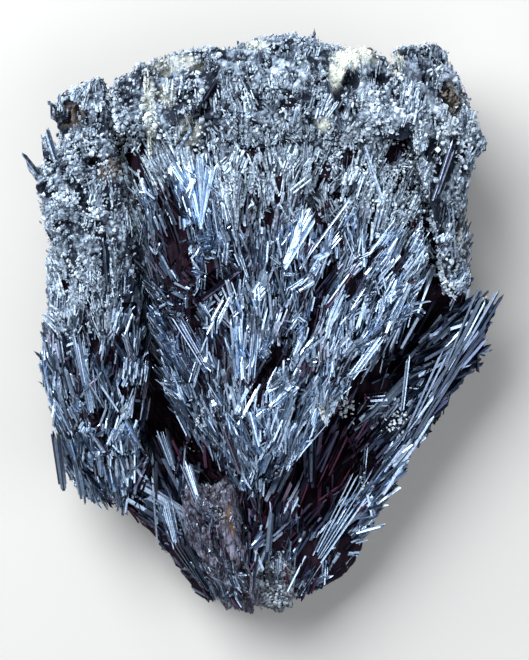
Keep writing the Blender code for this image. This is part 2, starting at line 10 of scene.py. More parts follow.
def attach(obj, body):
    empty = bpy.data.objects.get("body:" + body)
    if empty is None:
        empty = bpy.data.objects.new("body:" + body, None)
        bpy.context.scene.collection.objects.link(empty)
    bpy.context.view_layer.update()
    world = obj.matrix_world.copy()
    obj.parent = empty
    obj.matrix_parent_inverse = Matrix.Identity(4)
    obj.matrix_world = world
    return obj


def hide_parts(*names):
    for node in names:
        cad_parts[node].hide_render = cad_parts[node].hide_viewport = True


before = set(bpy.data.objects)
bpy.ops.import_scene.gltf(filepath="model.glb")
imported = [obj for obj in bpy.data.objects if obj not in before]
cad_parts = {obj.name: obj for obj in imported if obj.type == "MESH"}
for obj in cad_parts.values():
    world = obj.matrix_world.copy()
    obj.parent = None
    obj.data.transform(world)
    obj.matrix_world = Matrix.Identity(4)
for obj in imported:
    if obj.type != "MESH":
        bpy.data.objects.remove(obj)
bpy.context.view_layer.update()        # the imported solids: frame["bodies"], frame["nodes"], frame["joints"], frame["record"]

mm = 0.001
up = np.array([0.0, 0.0, 1.0])
noiseGain = 1.6          # brings raw noise up to about -1 to 1
blobEdge = (0.75, 1.25)  # a blob fades between these shares of its size
thinnest = 0.45          # a move inward takes at most this share of what lies under it
far = 8 * mm             # how deep a look into a solid goes
overhead = 0.1           # rays that find the top side start this high, in metres


def unit(vectors):
    return vectors / np.maximum(np.linalg.norm(vectors, axis=-1, keepdims=True), 1e-12)


def dots(a, b):
    return (a * b).sum(axis=-1)


def smoothStep(values, low, high):
    part = np.clip((values - low) / (high - low), 0, 1)
    return part * part * (3 - 2 * part)


def turned(vectors, axes, angles):
    # vectors turned about unit axes, row by row
    cosine, sine = np.cos(angles)[:, None], np.sin(angles)[:, None]
    along = dots(vectors, axes)[:, None] * axes
    return along + (vectors - along) * cosine + np.cross(axes, vectors) * sine


def noiseAt(points, size, seed):
    # smooth noise, about -1 to 1, with features of this size in mm
    scale = 1 / (size * mm)
    shift = Vector((seed * 7.3, seed * 3.1, seed * 5.7))
    return np.array([noise.noise(Vector(point) * scale + shift) for point in points]) * noiseGain


def cellsAt(points, size):
    # how far each point is from the middle of its cell, for cells of this size in mm
    return np.array([noise.voronoi(Vector(point) / (size * mm))[0][0] for point in points])


def blobs(points, table):
    # the strongest of a table's soft ellipses in plan: x, y, half length, half width, lean, strength
    most = np.zeros(len(points))
    for x, y, length, width, lean, strength in table:
        sine, cosine = math.sin(math.radians(lean)), math.cos(math.radians(lean))
        dx, dy = points[:, 0] / mm - x, points[:, 1] / mm - y
        reach = np.hypot((dx * sine + dy * cosine) / length, (dx * cosine - dy * sine) / width)
        most = np.maximum(most, strength * smoothStep(-reach, -blobEdge[1], -blobEdge[0]))
    return most


def read(items, name, width):
    values = np.empty(len(items) * width)
    items.foreach_get(name, values)
    return values.reshape(-1, width) if width > 1 else values


def pointsOf(mesh):
    # the points and the outward ways of a mesh
    return read(mesh.vertices, "co", 3), read(mesh.vertices, "normal", 3)


def moveTo(mesh, points):
    mesh.vertices.foreach_set("co", points.ravel())
    mesh.update()


def addMarks(mesh, marks):
    mesh.attributes.new("marks", "FLOAT_COLOR", "POINT").data.foreach_set("color", marks.ravel())


def piece(name, mesh, look):
    item = bpy.data.objects.new(name, mesh)
    bpy.context.scene.collection.objects.link(item)
    mesh.materials.clear()
    mesh.materials.append(look)
    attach(item, "root")
    return item


# Sunken places of the top side: x, y, half length, half width, lean to the right in degrees, strength.
grooves = (
    (-9.8, 9.6, 6.6, 1.5, -17, 0.8), (-5.6, 3.9, 3.6, 0.7, 55, 1), (7.6, 5.4, 4.2, 0.7, 42, 0.9),
    (5.7, 0.3, 1.7, 0.8, 10, 1), (2.3, -2.5, 2.4, 1.3, 25, 0.5), (-3.2, 0.2, 2, 0.4, 0, 0.8),
    (-0.4, -6.1, 1.3, 1.1, 0, 0.7), (-7.5, 0.6, 1.7, 1.2, -20, 0.9), (5.9, 14, 1.3, 0.6, 20, 0.8),
    (8.7, 12.8, 2.6, 0.5, 35, 1), (8.3, 14.7, 1.4, 0.4, 15, 1), (9.4, 18, 1.4, 0.7, 10, 1),
    (14.4, 18.6, 1.1, 0.8, 10, 1), (15.5, 20.8, 0.9, 0.7, 0, 0.9), (20, 16.7, 3.9, 0.8, 22, 0.9),
    (18.6, 18.9, 1.1, 0.9, 60, 0.9), (19.7, 11.8, 1.6, 0.5, 5, 0.8), (21.7, 10.7, 1.5, 0.6, 10, 0.8),
    (15.8, 4.1, 1.5, 0.7, 30, 0.9), (-2, 16.4, 0.6, 0.5, 0, 0.8),
    (-16.2, -4, 3.4, 0.6, -8, 0.9), (-19.4, -2, 2, 0.5, 12, 0.8), (-17.8, -8.4, 1.6, 0.6, 30, 0.8),
    (-21.4, -6, 2.2, 0.5, -6, 0.7), (-3.4, -8.2, 2.2, 0.5, -24, 0.8), (3.8, -8.6, 2, 0.5, 22, 0.7),
    (17.7, -1.2, 4.6, 1.1, 39, 1),
)
hollows = (
    (8.1, -15.7, 7.6, 3, 22, 1), (-11.7, -10.8, 3, 1.6, -20, 1), (-7.2, -13.4, 4.6, 1.4, -38, 1),
    (0.4, -19.8, 3.4, 1.4, 90, 1), (-9.5, -19, 2.4, 0.9, -30, 0.7), (14, -12, 4.5, 0.6, 35, 0.6),
)
pits = (
    (9.9, 26.8, 0.95, 0.8, 0, 1), (12.9, 27, 0.9, 0.8, 0, 1), (8, 24.2, 1.9, 0.45, -25, 1),
    (-6.8, 22.5, 4.1, 0.6, 30, 0.9), (-16.8, 6.8, 2.7, 0.4, 0, 1), (-21, 23.3, 1.6, 1.3, 20, 1),
    (-19.9, 15.1, 0.6, 0.55, 0, 1), (-23.9, 15.2, 0.7, 0.6, 0, 1), (-18.7, 17.9, 0.4, 0.7, 0, 1),
    (-1.8, 11.8, 0.3, 0.5, 0, 0.9), (20.4, 24.9, 1.3, 0.8, -30, 0.9),
)


granular = (  # where lumps and grains take over from the prisms
    (12, 19, 6.5, 4.6, 20, 1), (-20, 13.5, 8.5, 4.4, 0, 0.9), (-13.5, 23.5, 3.6, 3, 0, 0.8),
    (20.5, 20.5, 5, 3.6, 0, 0.7), (20.5, 5.5, 3, 2, 0, 0.8), (-9, 27, 3, 4, 60, 0.8),
    (2, -28.4, 3.4, 2.8, 0, 1), (-6.4, -16.3, 8.7, 0.8, -28, 1), (-18.5, 0.5, 4.5, 2, 90, 0.8),
)
creamPatches = (
    (-0.7, 30.9, 1.4, 0.9, 90, 0.9), (10.6, 29.4, 2.8, 1.1, 75, 1), (8.3, 27.8, 2, 0.8, 10, 1),
    (13, 29.6, 1.6, 0.8, 80, 0.8), (6.7, 21.6, 0.8, 0.7, 0, 1), (-7.8, 20.6, 2, 1.3, 20, 0.3),
    (-12, 22.8, 4.6, 0.6, -4, 0.45), (20.4, 5.6, 1.7, 0.6, -20, 1), (21.6, 2.6, 1.2, 1, 0, 0.5),
    (14.6, 28.6, 1, 0.8, 0, 0.6), (-10.2, 25, 1.4, 1, 0, 0.35), (-9.2, 28.6, 2.4, 0.9, 80, 0.35),
)
tangled = (  # where short blades lie across each other
    (-8, 4, 6.5, 3.6, 25, 1), (2, -4.6, 4, 2.2, 0, 0.8), (-14.5, -13, 3, 2, 0, 0.8),
    (-0.5, -8.5, 3, 2, 0, 0.6), (12.5, -7.5, 2.2, 1.6, 0, 1), (-6, -20, 4, 4, 0, 0.7),
    (8, 12, 3, 3, 0, 0.5), (-19.5, -9.5, 2.6, 2.6, 0, 0.7), (-18, -3.5, 2.2, 2.6, 0, 0.8),
    (-21.5, 0.5, 1.6, 1.6, 0, 0.6),
)
dim = (  # where most blades are painted darker, painted shade as if they turned away from the light
    (21.5, -4, 9, 4.4, 38, 1), (-10.5, 8, 5, 2, -20, 0.5),
    (-0.2, 4, 1.5, 1.2, 0, 0.75), (-6.1, 8.8, 1.8, 1.5, 0, 0.7),
)
leaning = ((17.5, -4, 8.5, 4, 45, 1),)  # where the lower fan leans out furthest
coarse = (  # where the blades are wider and longer
    (20.5, -5, 10, 6, 35, 1), (9, -24, 5, 4, 30, 0.7), (-21.5, -16, 4, 2, -10, 0.8),
    (-12, -18, 5, 3, -30, 0.6), (4, 9.8, 3.2, 1.4, 25, 0.8), (-6.7, 14.5, 4, 1.6, -6, 0.7),
)
bright = (  # where they are painted lighter, a painted highlight where they catch the light
    (4, 9.8, 3, 1.2, 25, 1), (-6.7, 15, 3.6, 1.6, -6, 0.8), (-1.8, -2.3, 3.2, 0.9, 0, 1),
    (2.6, -11, 4.6, 3.6, 15, 0.8), (-2.2, -10.5, 4, 2.6, -20, 0.6), (12, 5, 8.5, 4.6, 40, 0.6),
    (-20.5, -4, 5, 2, -10, 0.4),
)


# Skins are even, closed copies of the CAD solids. The finer pieces grow from them.
nodeNames = ("upper_fan", "lower_fan", "left_fan", "base_matrix", "top_crust", "left_crust", "right_crust")
skinForm = {"voxel": 0.7, "rounds": 6, "leastIsland": 80}
crusts = {  # the seed of its lumps, the Y where it starts and where it is full, and how far it sinks there
    "top_crust": {"seed": 61, "start": 19.4, "full": 23.0, "sink": 1.3},
    "left_crust": {"seed": 63, "start": 2.6, "full": 7.5, "sink": 1.2},
    "right_crust": {"seed": 67, "start": 3.2, "full": 8.0, "sink": 1.0},
}


def dropIslands(mesh, least):
    # stray crumbs of the remesh go
    bm = bmesh.new()
    bm.from_mesh(mesh)
    waiting = set(bm.verts)
    while waiting:
        island, edge = set(), [waiting.pop()]
        while edge:
            vert = edge.pop()
            island.add(vert)
            for link in vert.link_edges:
                other = link.other_vert(vert)
                if other in waiting:
                    waiting.discard(other)
                    edge.append(other)
        if len(island) < least:
            bmesh.ops.delete(bm, geom=list(island), context="VERTS")
    bm.to_mesh(mesh)
    bm.free()


def skinOf(node, voxel, rounds):
    bm = bmesh.new()
    bm.from_mesh(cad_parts[node].data)
    bmesh.ops.remove_doubles(bm, verts=bm.verts, dist=1e-6)
    mesh = bpy.data.meshes.new(node + "_skin")
    bm.to_mesh(mesh)
    bm.free()
    item = bpy.data.objects.new(mesh.name, mesh)
    bpy.context.scene.collection.objects.link(item)
    remesh = item.modifiers.new("Remesh", "REMESH")
    remesh.mode, remesh.voxel_size = "VOXEL", voxel * mm
    smooth = item.modifiers.new("Smooth", "SMOOTH")
    smooth.factor, smooth.iterations = 0.5, rounds
    seen = item.evaluated_get(bpy.context.evaluated_depsgraph_get())
    skin = bpy.data.meshes.new_from_object(seen)
    bpy.data.objects.remove(item)
    bpy.data.meshes.remove(mesh)
    dropIslands(skin, skinForm["leastIsland"])
    return skin


def frontOf(points, node):
    # 1 at the front of a crust, 0 where it has its full height
    return 1 - smoothStep(points[:, 1] / mm, crusts[node]["start"], crusts[node]["full"])


def thinned(mesh, node):
    # a crust's front sinks in among the crystals that it runs out on
    points = read(mesh.vertices, "co", 3)
    points[:, 2] -= frontOf(points, node) * crusts[node]["sink"] * mm
    moveTo(mesh, points)


def treeOf(*meshes):
    points, faces = [], []
    for mesh in meshes:
        first = len(points)
        points += [tuple(vert.co) for vert in mesh.vertices]
        faces += [tuple(first + index for index in face.vertices) for face in mesh.polygons]
    return BVHTree.FromPolygons(points, faces)


skins = {node: skinOf(node, skinForm["voxel"], skinForm["rounds"]) for node in nodeNames}
for node in crusts:
    thinned(skins[node], node)
trees = {node: treeOf(skins[node]) for node in nodeNames}
everything = treeOf(*skins.values())
print("skins", {node: len(skins[node].polygons) for node in nodeNames})


def topAt(x, y, otherwise=None):
    # the height of the spray's top side here
    hit = everything.ray_cast(Vector((x, y, overhead)), Vector((0, 0, -1)))[0]
    return otherwise if hit is None else hit.z


def outside(spot):
    return topAt(spot[0], spot[1]) is None


def openness(points, normals):
    # the share of a few rays that leave each point without meeting the spray, so hidden faces get 0
    free = np.zeros(len(points))
    rays = ((0, 0), (0.9, 0), (0.9, 2.1), (0.9, 4.2))  # tilt and turn, in radians
    for index, (point, normal) in enumerate(zip(points, normals)):
        away = Vector(normal)
        side = away.orthogonal().normalized()
        start = Vector(point) + away * 0.4 * mm
        for tilt, spin in rays:
            ray = away * math.cos(tilt) + (Matrix.Rotation(spin, 3, away) @ side) * math.sin(tilt)
            if everything.ray_cast(start, ray, 6 * mm)[0] is None:
                free[index] += 1 / len(rays)
    return free


def roomUnder(points, ways, tree):
    # how far each point can go this way, in metres, before it leaves the solid
    room = np.full(len(points), far)
    for index, (point, way) in enumerate(zip(points, ways)):
        hit = tree.ray_cast(Vector(point + way * 0.02 * mm), Vector(way), far)
        if hit[0] is not None:
            room[index] = hit[3]
    return room


def lowered(points, normals, tree, drop):
    # moves the upper side down, by less than half of what lies under it
    room = roomUnder(points, np.tile(-up, (len(points), 1)), tree)
    sunk = points.copy()
    sunk[:, 2] -= np.minimum(drop, thinnest * room) * (normals[:, 2] > 0)
    return sunk


def unflipped(mesh, before, points, rounds=8, least=0.2, back=0.6):
    # draws back the corners of every face that a move has turned over
    corners = read(mesh.polygons, "vertices", 4).astype(int)

    def facing(at):
        across, along = at[corners[:, 2]] - at[corners[:, 0]], at[corners[:, 3]] - at[corners[:, 1]]
        return unit(np.cross(across, along))

    start = facing(before)
    for _ in range(rounds):
        turnedOver = corners[dots(start, facing(points)) < least]
        if not len(turnedOver):
            break
        points[turnedOver] = before[turnedOver] + back * (points[turnedOver] - before[turnedOver])
    return points


def swollen(mesh, points, normals, amount):
    # moves the points out by this many metres, without turning a face over or going below the floor
    moved = unflipped(mesh, points, points + normals * amount[:, None])
    moved[:, 2] = np.maximum(moved[:, 2], 0)
    moveTo(mesh, moved)


def feed(tree, socket, value):
    # links a socket, or sets a plain number, vector or colour
    if isinstance(value, bpy.types.NodeSocket):
        tree.links.new(value, socket)
    else:
        socket.default_value = (*value, 1) if socket.type == "RGBA" else value


def add(tree, kind, *ins, **values):
    # a new node: ins feed its first inputs in turn, values its settings and its inputs by name
    item = tree.nodes.new("ShaderNode" + kind)
    for key, value in values.items():
        if hasattr(item, key):
            setattr(item, key, value)
        else:
            feed(tree, item.inputs[key.replace("_", " ")], value)
    for socket, value in zip(item.inputs, ins):
        feed(tree, socket, value)
    return item


def newMaterial(name, **finish):
    material = bpy.data.materials.new(name)
    material.use_nodes = True
    tree = material.node_tree
    tree.nodes.clear()
    shader = add(tree, "BsdfPrincipled", **finish)
    add(tree, "OutputMaterial", shader.outputs["BSDF"])
    return material, tree, shader


def marksOf(tree):
    # a piece's own marks, as four sockets
    marks = add(tree, "Attribute", attribute_name="marks")
    return (*add(tree, "SeparateColor", marks.outputs["Color"]).outputs, marks.outputs["Alpha"])


def maths(tree, operation, *ins, **values):
    return add(tree, "Math", *ins, operation=operation, **values).outputs[0]


def spanned(tree, *ins, **values):
    # ins are the value, the two ends that it comes from and the two that it goes to
    return add(tree, "MapRange", *ins, **values).outputs[0]


def mixColour(tree, amount, a, b, blend="MIX"):
    mix = add(tree, "Mix", amount, data_type="RGBA", blend_type=blend)
    colours = [socket for socket in mix.inputs if socket.type == "RGBA"]
    feed(tree, colours[0], a)
    feed(tree, colours[1], b)
    return [socket for socket in mix.outputs if socket.type == "RGBA"][0]


def ramp(tree, source, places, colours):
    item = add(tree, "ValToRGB", source)
    stops = item.color_ramp.elements
    while len(stops) < len(places):
        stops.new(0.5)
    for stop, place, colour in zip(stops, places, colours):
        stop.position, stop.color = place, (*colour, 1)
    return item.outputs["Color"]


def noiseOn(tree, place, scale, detail, roughness):
    return add(tree, "TexNoise", place, Scale=scale, Detail=detail, Roughness=roughness).outputs["Fac"]


def stretched(tree, place, scale):
    return add(tree, "Mapping", place, Scale=scale).outputs[0]


def bumpOn(tree, shader, height, look):
    bump = add(tree, "Bump", Height=height, Strength=look["bump"], Distance=look["deep"] * mm)
    feed(tree, shader.inputs["Normal"], bump.outputs["Normal"])


# In the looks below, a noise is its scale, detail and roughness, and deep is the relief in mm.
stibniteLook = {
    # maroon is the tint of tarnish and of painted shade with a red reflection in sunk, low and deep places
    "dark": (0.021, 0.033, 0.062), "bright": (0.50, 0.67, 0.90), "maroon": (0.05, 0.018, 0.034),
    "dustDark": (0.06, 0.09, 0.14), "dustLight": (0.52, 0.67, 0.82), "cream": (0.66, 0.72, 0.66),
    "fleck": (0.010, 0.013, 0.033), "roughness": (0.28, 0.48), "dullRoughness": 0.8, "dullMetal": 0.05,
    "lines": (9.0, 9.0, 0.35), "striae": (1.0, 2.0, 0.5), "bump": 0.3, "deep": 0.05,
    "speckle": (2600.0, 2.0, 0.5), "dusty": (0.74, 1.0),  # speckle and coat together turn dull between these
    "flecks": (3300.0, 2.0, 0.6), "gaps": (0.4, 0.54, 0.85, 0.0), "fleckShare": (0.9, 0.35),
}
coreLook = {
    "black": (0.003, 0.002, 0.005), "dark": (0.016, 0.008, 0.015), "roughness": 0.8, "specular": 0.06,
    "lines": (1.0, 0.12, 1.0), "streaks": (2400.0, 3.0, 0.5), "stops": (0.35, 0.7), "bump": 0.6, "deep": 0.2,
}
crustLook = {
    "dark": (0.007, 0.012, 0.024), "middle": (0.20, 0.265, 0.35), "light": (0.60, 0.71, 0.83),
    "cream": (0.68, 0.74, 0.68), "brown": (0.15, 0.13, 0.115), "roughness": 0.8, "specular": 0.2,
    "mottle": (1100.0, 5.0, 0.65), "fine": (5200.0, 3.0, 0.5), "fineShare": 0.45,
    "grains": 2300.0, "grainShade": 0.18, "seams": -0.4, "stops": (0.275, 0.45, 0.675),
    "rounding": -1.2, "bump": 0.7, "deep": 0.22,
}
rockLook = {
    "dark": (0.006, 0.005, 0.010), "light": (0.165, 0.17, 0.25), "pale": (0.15, 0.175, 0.21),
    "amber": (0.14, 0.07, 0.02), "roughness": 0.5, "specular": 0.3,
    "lines": (1.0, 0.25, 1.0), "streaks": (2200.0, 5.0, 0.7), "stops": (0.43, 0.63),
    "crumbs": (3400.0, 3.0, 0.6), "crumbStops": (0.4, 0.6), "bump": 0.5, "deep": 0.25,
}


def stibniteMaterial(look):
    # marks: red is shade, green the dull coat, blue the maroon tint, partly tarnish and partly painted shade with a
    # red reflection in sunk, low and deep places, alpha the cream
    material, tree, shader = newMaterial("stibnite")
    shade, coat, maroon, cream = marksOf(tree)
    grain = add(tree, "Attribute", attribute_name="grain").outputs["Vector"]
    striae = noiseOn(tree, stretched(tree, grain, look["lines"]), *look["striae"])
    metal = mixColour(tree, shade, look["dark"], look["bright"])
    metal = mixColour(tree, maroon, metal, look["maroon"])
    place = add(tree, "TexCoord").outputs["Object"]
    speckle = noiseOn(tree, place, *look["speckle"])
    dusty = spanned(tree, maths(tree, "ADD", speckle, coat), *look["dusty"], interpolation_type="SMOOTHSTEP")
    dust = mixColour(tree, cream, mixColour(tree, shade, look["dustDark"], look["dustLight"]), look["cream"])
    gaps = spanned(tree, noiseOn(tree, place, *look["flecks"]), *look["gaps"])
    often = maths(tree, "MULTIPLY_ADD", coat, *look["fleckShare"])
    fleck = maths(tree, "MULTIPLY", gaps, often, use_clamp=True)
    colour = mixColour(tree, fleck, mixColour(tree, dusty, metal, dust), look["fleck"])
    feed(tree, shader.inputs["Base Color"], colour)
    feed(tree, shader.inputs["Metallic"], spanned(tree, dusty, 0.0, 1.0, 1.0, look["dullMetal"]))
    polish = spanned(tree, striae, 0.0, 1.0, *look["roughness"])
    feed(tree, shader.inputs["Roughness"], spanned(tree, dusty, 0.0, 1.0, polish, look["dullRoughness"]))
    bumpOn(tree, shader, striae, look)
    return material


def coreMaterial(look):
    # painted shade: the near-black, faintly maroon depths between the prisms
    material, tree, shader = newMaterial(
        "stibnite_shade", Roughness=look["roughness"], Specular_IOR_Level=look["specular"])
    place = add(tree, "TexCoord").outputs["Object"]
    streaks = noiseOn(tree, stretched(tree, place, look["lines"]), *look["streaks"])
    feed(tree, shader.inputs["Base Color"], ramp(tree, streaks, look["stops"], (look["black"], look["dark"])))
    bumpOn(tree, shader, streaks, look)
    return material


def crustMaterial(look):
    # marks: red is shade, green the cream patches, blue the brown ones
    material, tree, shader = newMaterial(
        "altered_crust", Roughness=look["roughness"], Specular_IOR_Level=look["specular"])
    shade, cream, brown, _ = marksOf(tree)
    place = add(tree, "TexCoord").outputs["Object"]
    fine = noiseOn(tree, place, *look["fine"])
    grains = add(tree, "TexVoronoi", place, Scale=look["grains"]).outputs
    own = add(tree, "SeparateColor", grains["Color"]).outputs["Red"]
    level = maths(tree, "ADD", noiseOn(tree, place, *look["mottle"]), shade)
    level = maths(tree, "MULTIPLY_ADD", own, look["grainShade"], level)
    level = maths(tree, "MULTIPLY_ADD", grains["Distance"], look["seams"], level)
    level = maths(tree, "MULTIPLY", level, 0.5)
    grey = ramp(tree, level, look["stops"], (look["dark"], look["middle"], look["light"]))
    grey = mixColour(tree, brown, grey, look["brown"])
    grey = mixColour(tree, cream, grey, look["cream"])
    feed(tree, shader.inputs["Base Color"], mixColour(tree, look["fineShare"], grey, fine, "SOFT_LIGHT"))
    bumpOn(tree, shader, maths(tree, "MULTIPLY_ADD", grains["Distance"], look["rounding"], fine), look)
    return material


def rockMaterial(look):
    # marks: green is the pale block, blue the amber patch
    material, tree, shader = newMaterial(
        "dark_matrix", Roughness=look["roughness"], Specular_IOR_Level=look["specular"])
    _, pale, amber, _ = marksOf(tree)
    place = add(tree, "TexCoord").outputs["Object"]
    streaks = noiseOn(tree, stretched(tree, place, look["lines"]), *look["streaks"])
    colour = ramp(tree, streaks, look["stops"], (look["dark"], look["light"]))
    block = ramp(tree, noiseOn(tree, place, *look["crumbs"]), look["crumbStops"], (look["dark"], look["pale"]))
    colour = mixColour(tree, amber, mixColour(tree, pale, colour, block), look["amber"])
    feed(tree, shader.inputs["Base Color"], colour)
    bumpOn(tree, shader, streaks, look)
    return material


stibnite = stibniteMaterial(stibniteLook)
shadows = coreMaterial(coreLook)
crustStone = crustMaterial(crustLook)
rock = rockMaterial(rockLook)
print("materials", [look.name for look in (stibnite, shadows, crustStone, rock)])


def cornersOf(bm):
    # a small shape's points and triangles, as arrays
    bmesh.ops.triangulate(bm, faces=bm.faces)
    points = np.array([tuple(vert.co) for vert in bm.verts])
    faces = np.array([[vert.index for vert in face.verts] for face in bm.faces])
    bm.free()
    return points, faces


def prismShape(sides, taper, point, shift, slant):
    # a prism about 1 across with Z from 0 to 1: taper is its foot's width, point its tip's height
    bm = bmesh.new()
    foot, crown = 0.5 * taper, 0.5
    shaft = bmesh.ops.create_cone(bm, cap_ends=True, segments=sides, radius1=foot, radius2=crown, depth=1)["verts"]
    bmesh.ops.translate(bm, vec=(0, 0, 0.5), verts=shaft)
    if point:
        bmesh.ops.scale(bm, vec=(1, 1, 1 - point), verts=shaft)
        top = max(bm.faces, key=lambda face: face.calc_center_median().z)
        peak = bmesh.ops.poke(bm, faces=[top])["verts"][0]
        peak.co += Vector((shift, 0, point))
    if slant:
        cut = bmesh.ops.bisect_plane(
            bm, geom=list(bm.verts) + list(bm.edges) + list(bm.faces), plane_co=(0, 0, 1 - slant / 2),
            plane_no=(slant, 0.2 * slant, 1), clear_outer=True,
        )["geom_cut"]
        bmesh.ops.contextual_create(bm, geom=[item for item in cut if isinstance(item, bmesh.types.BMEdge)])
    bmesh.ops.recalc_face_normals(bm, faces=bm.faces)
    return cornersOf(bm)


prisms = (  # the share of each shape
    (0.12, prismShape(4, 0.85, 0.07, 0.2, 0)), (0.24, prismShape(4, 0.95, 0, 0, 0.08)),
    (0.26, prismShape(3, 0.75, 0.1, 0.1, 0)), (0.38, prismShape(3, 0.9, 0, 0, 0.05)),
)


def crumbShapes():
    # an eight-sided crumb, a block and a rounder grain, each about 1 across
    crumb, block, grain = bmesh.new(), bmesh.new(), bmesh.new()
    bmesh.ops.create_uvsphere(crumb, u_segments=4, v_segments=2, radius=0.55)
    bmesh.ops.create_cube(block, size=0.75)
    bmesh.ops.create_icosphere(grain, subdivisions=1, radius=0.5)
    return [cornersOf(bm) for bm in (crumb, block, grain)]


def joined(name, shapes, pick, places, frames, sizes, marks, seed):
    # one mesh of many shapes: frames holds each one's three axes, sizes their lengths along them
    rng = np.random.default_rng(seed)
    points, faces, colours, grains, first = [], [], [], [], 0
    for number, (shapePoints, shapeFaces) in enumerate(shapes):
        chosen = np.flatnonzero(pick == number)
        if not len(chosen):
            continue
        local = shapePoints[None, :, :] * sizes[chosen][:, None, :]
        spread = places[chosen][:, None, :] + np.einsum("nvk,nkc->nvc", local, frames[chosen])
        points.append(spread.reshape(-1, 3))
        starts = first + np.arange(len(chosen)) * len(shapePoints)
        faces.append((shapeFaces[None, :, :] + starts[:, None, None]).reshape(-1, 3))
        first += len(chosen) * len(shapePoints)
        colours.append(np.repeat(marks[chosen], len(shapePoints), axis=0))
        shifts = rng.uniform(0, 50, (len(chosen), 1, 3))  # so no two have the same lines
        grains.append((local / mm + shifts).reshape(-1, 3))
    mesh = bpy.data.meshes.new(name)
    mesh.from_pydata(np.concatenate(points), [], np.concatenate(faces))
    addMarks(mesh, np.concatenate(colours))
    mesh.attributes.new("grain", "FLOAT_VECTOR", "POINT").data.foreach_set("vector", np.concatenate(grains).ravel())
    mesh.update()
    return mesh


# The fans' prisms. free is how far they may stand past the outline, and focus is where a node's
# prisms point to. Widths and lengths are those of a packet.
fans = {
    "upper_fan": {"free": 0.7, "focus": (-0.6, -24.0), "packets": 3250, "width": (0.15, 0.35),
                  "length": (1.6, 5.6), "layers": "crystals", "piece": "upper_needles", "seed": 11},
    "lower_fan": {"free": 0.9, "focus": (0.0, -37.0), "packets": 1720, "width": (0.22, 0.52),
                  "length": (3.4, 10.0), "layers": "crystals", "piece": "lower_needles", "seed": 23},
    "left_fan": {"free": 0.6, "focus": (-15.5, -31.0), "packets": 1120, "width": (0.16, 0.36),
                  "length": (1.5, 5.0), "layers": "crystals", "piece": "left_needles", "seed": 31},
    "base_matrix": {"free": 0.0, "focus": (2.0, -43.5), "packets": 640, "width": (0.07, 0.17),
                  "length": (0.8, 2.6), "layers": "crumbled", "piece": "lower_needles", "seed": 37},
    "top_crust": {"free": 0.15, "focus": (-0.5, -45.0), "packets": 1560, "width": (0.11, 0.26),
                  "length": (0.9, 2.9), "layers": "crumbled", "piece": "crown_needles", "seed": 41},
    "left_crust": {"free": 0.15, "focus": (-14.0, -50.0), "packets": 560, "width": (0.12, 0.26),
                  "length": (0.9, 2.6), "layers": "crumbled", "piece": "crown_needles", "seed": 43},
    "right_crust": {"free": 0.2, "focus": (4.0, -24.0), "packets": 560, "width": (0.13, 0.3),
                  "length": (1.0, 3.4), "layers": "crumbled", "piece": "crown_needles", "seed": 47},
}

# How packets of prisms are laid, from the depths up. share is of a fan's packets, many the prisms in
# one, turn how far it may turn from the fan's lines, lift its rise from the surface, level its height.
layers = {
    "crystals": (
        # the deepest layer is painted dark, as painted shade under the layers above it
        {"share": 0.25, "many": (7, 14), "turn": 9, "lift": (-2, 4), "level": (-1.6, -0.8),
         "shade": (0.0, 0.2), "long": 1.1},
        {"share": 0.36, "many": (5, 13), "turn": 12, "lift": (0, 7), "level": (-0.9, -0.1),
         "shade": (0.0, 1.0), "long": 1.0},
        {"share": 0.15, "many": (3, 8), "turn": 24, "lift": (2, 10), "level": (-0.4, 0.3),
         "shade": (0.1, 1.0), "long": 0.8},
        {"share": 0.24, "many": (1, 5), "turn": 50, "lift": (-10, 25), "level": (-0.5, 0.2),
         "shade": (0.0, 0.8), "long": 0.3},
    ),
    "crumbled": (
        {"share": 0.44, "many": (4, 9), "turn": 10, "lift": (-2, 5), "level": (-0.6, 0.05),
         "shade": (0.0, 1.0), "long": 1.0},
        {"share": 0.26, "many": (3, 6), "turn": 28, "lift": (0, 12), "level": (-0.3, 0.2),
         "shade": (0.0, 1.0), "long": 0.6},
        {"share": 0.30, "many": (2, 6), "turn": 60, "lift": (-15, 25), "level": (-0.3, 0.2),
         "shade": (0.1, 1.0), "long": 0.3},
    ),
}

swirls = ((9, 7.0, 0), (10, 2.6, 4))  # how prisms stray from a fan's lines: degrees, size in mm, seed
leanTurn = 22                         # degrees more where the lower fan leans out
coating = {"most": 0.68, "depth": 11, "patches": (0.1, 0.24), "patchSize": 2.4}
packing = {  # how packets are spread over a skin, and how they change from place to place
    "grooves": 0.65, "hollows": 0.45, "under": 0.3, "ends": 0.9, "front": 4, "granular": 0.75,
    "tangleTurn": 20, "tangleLift": 9, "tangleShort": 0.5, "coatShort": 0.45, "coarseLong": 0.3,
    "coarseThick": 0.35, "glow": 0.4, "reliefSize": 2.2, "reliefHeight": 0.5, "reliefShade": 0.35,
    "rollSize": 4.0, "tarnished": 0.15,
}
growing = {  # how each prism departs from its packet
    "length": (0.5, 1.15), "width": (0.65, 1.35), "apart": 0.36, "along": 0.4, "turn": 2.5, "roll": 0.28,
    "level": 0.14, "sink": 1.3, "rockLevel": 0.35, "broad": (0.4, 0.85), "standingShort": 0.65,
    "footShort": 0.5, "grooveLoss": 0.45, "cut": 0.7, "movedIn": 0.3,
}
shading = {  # what makes a prism darker, lighter, duller or more maroon, much of it painted shade
    "coat": 0.06, "shade": 0.24, "sunk": 0.6, "level": 0.3, "dim": 0.88, "stayBright": 0.16, "lowShade": 0.12,
    "lowFrom": (13, 6), "sunkMaroonShade": 0.9, "lowMaroonShade": 0.5, "deepMaroonShade": 0.6, "coarseMaroon": 0.8,
    "upperFan": (0.12, 0.08), "rock": (0.75, 0.25),
}
rim = {"below": -19, "facing": 0.9, "reach": 0.7, "moved": 0.45, "spare": 0.2}  # where the foot's loose prisms go


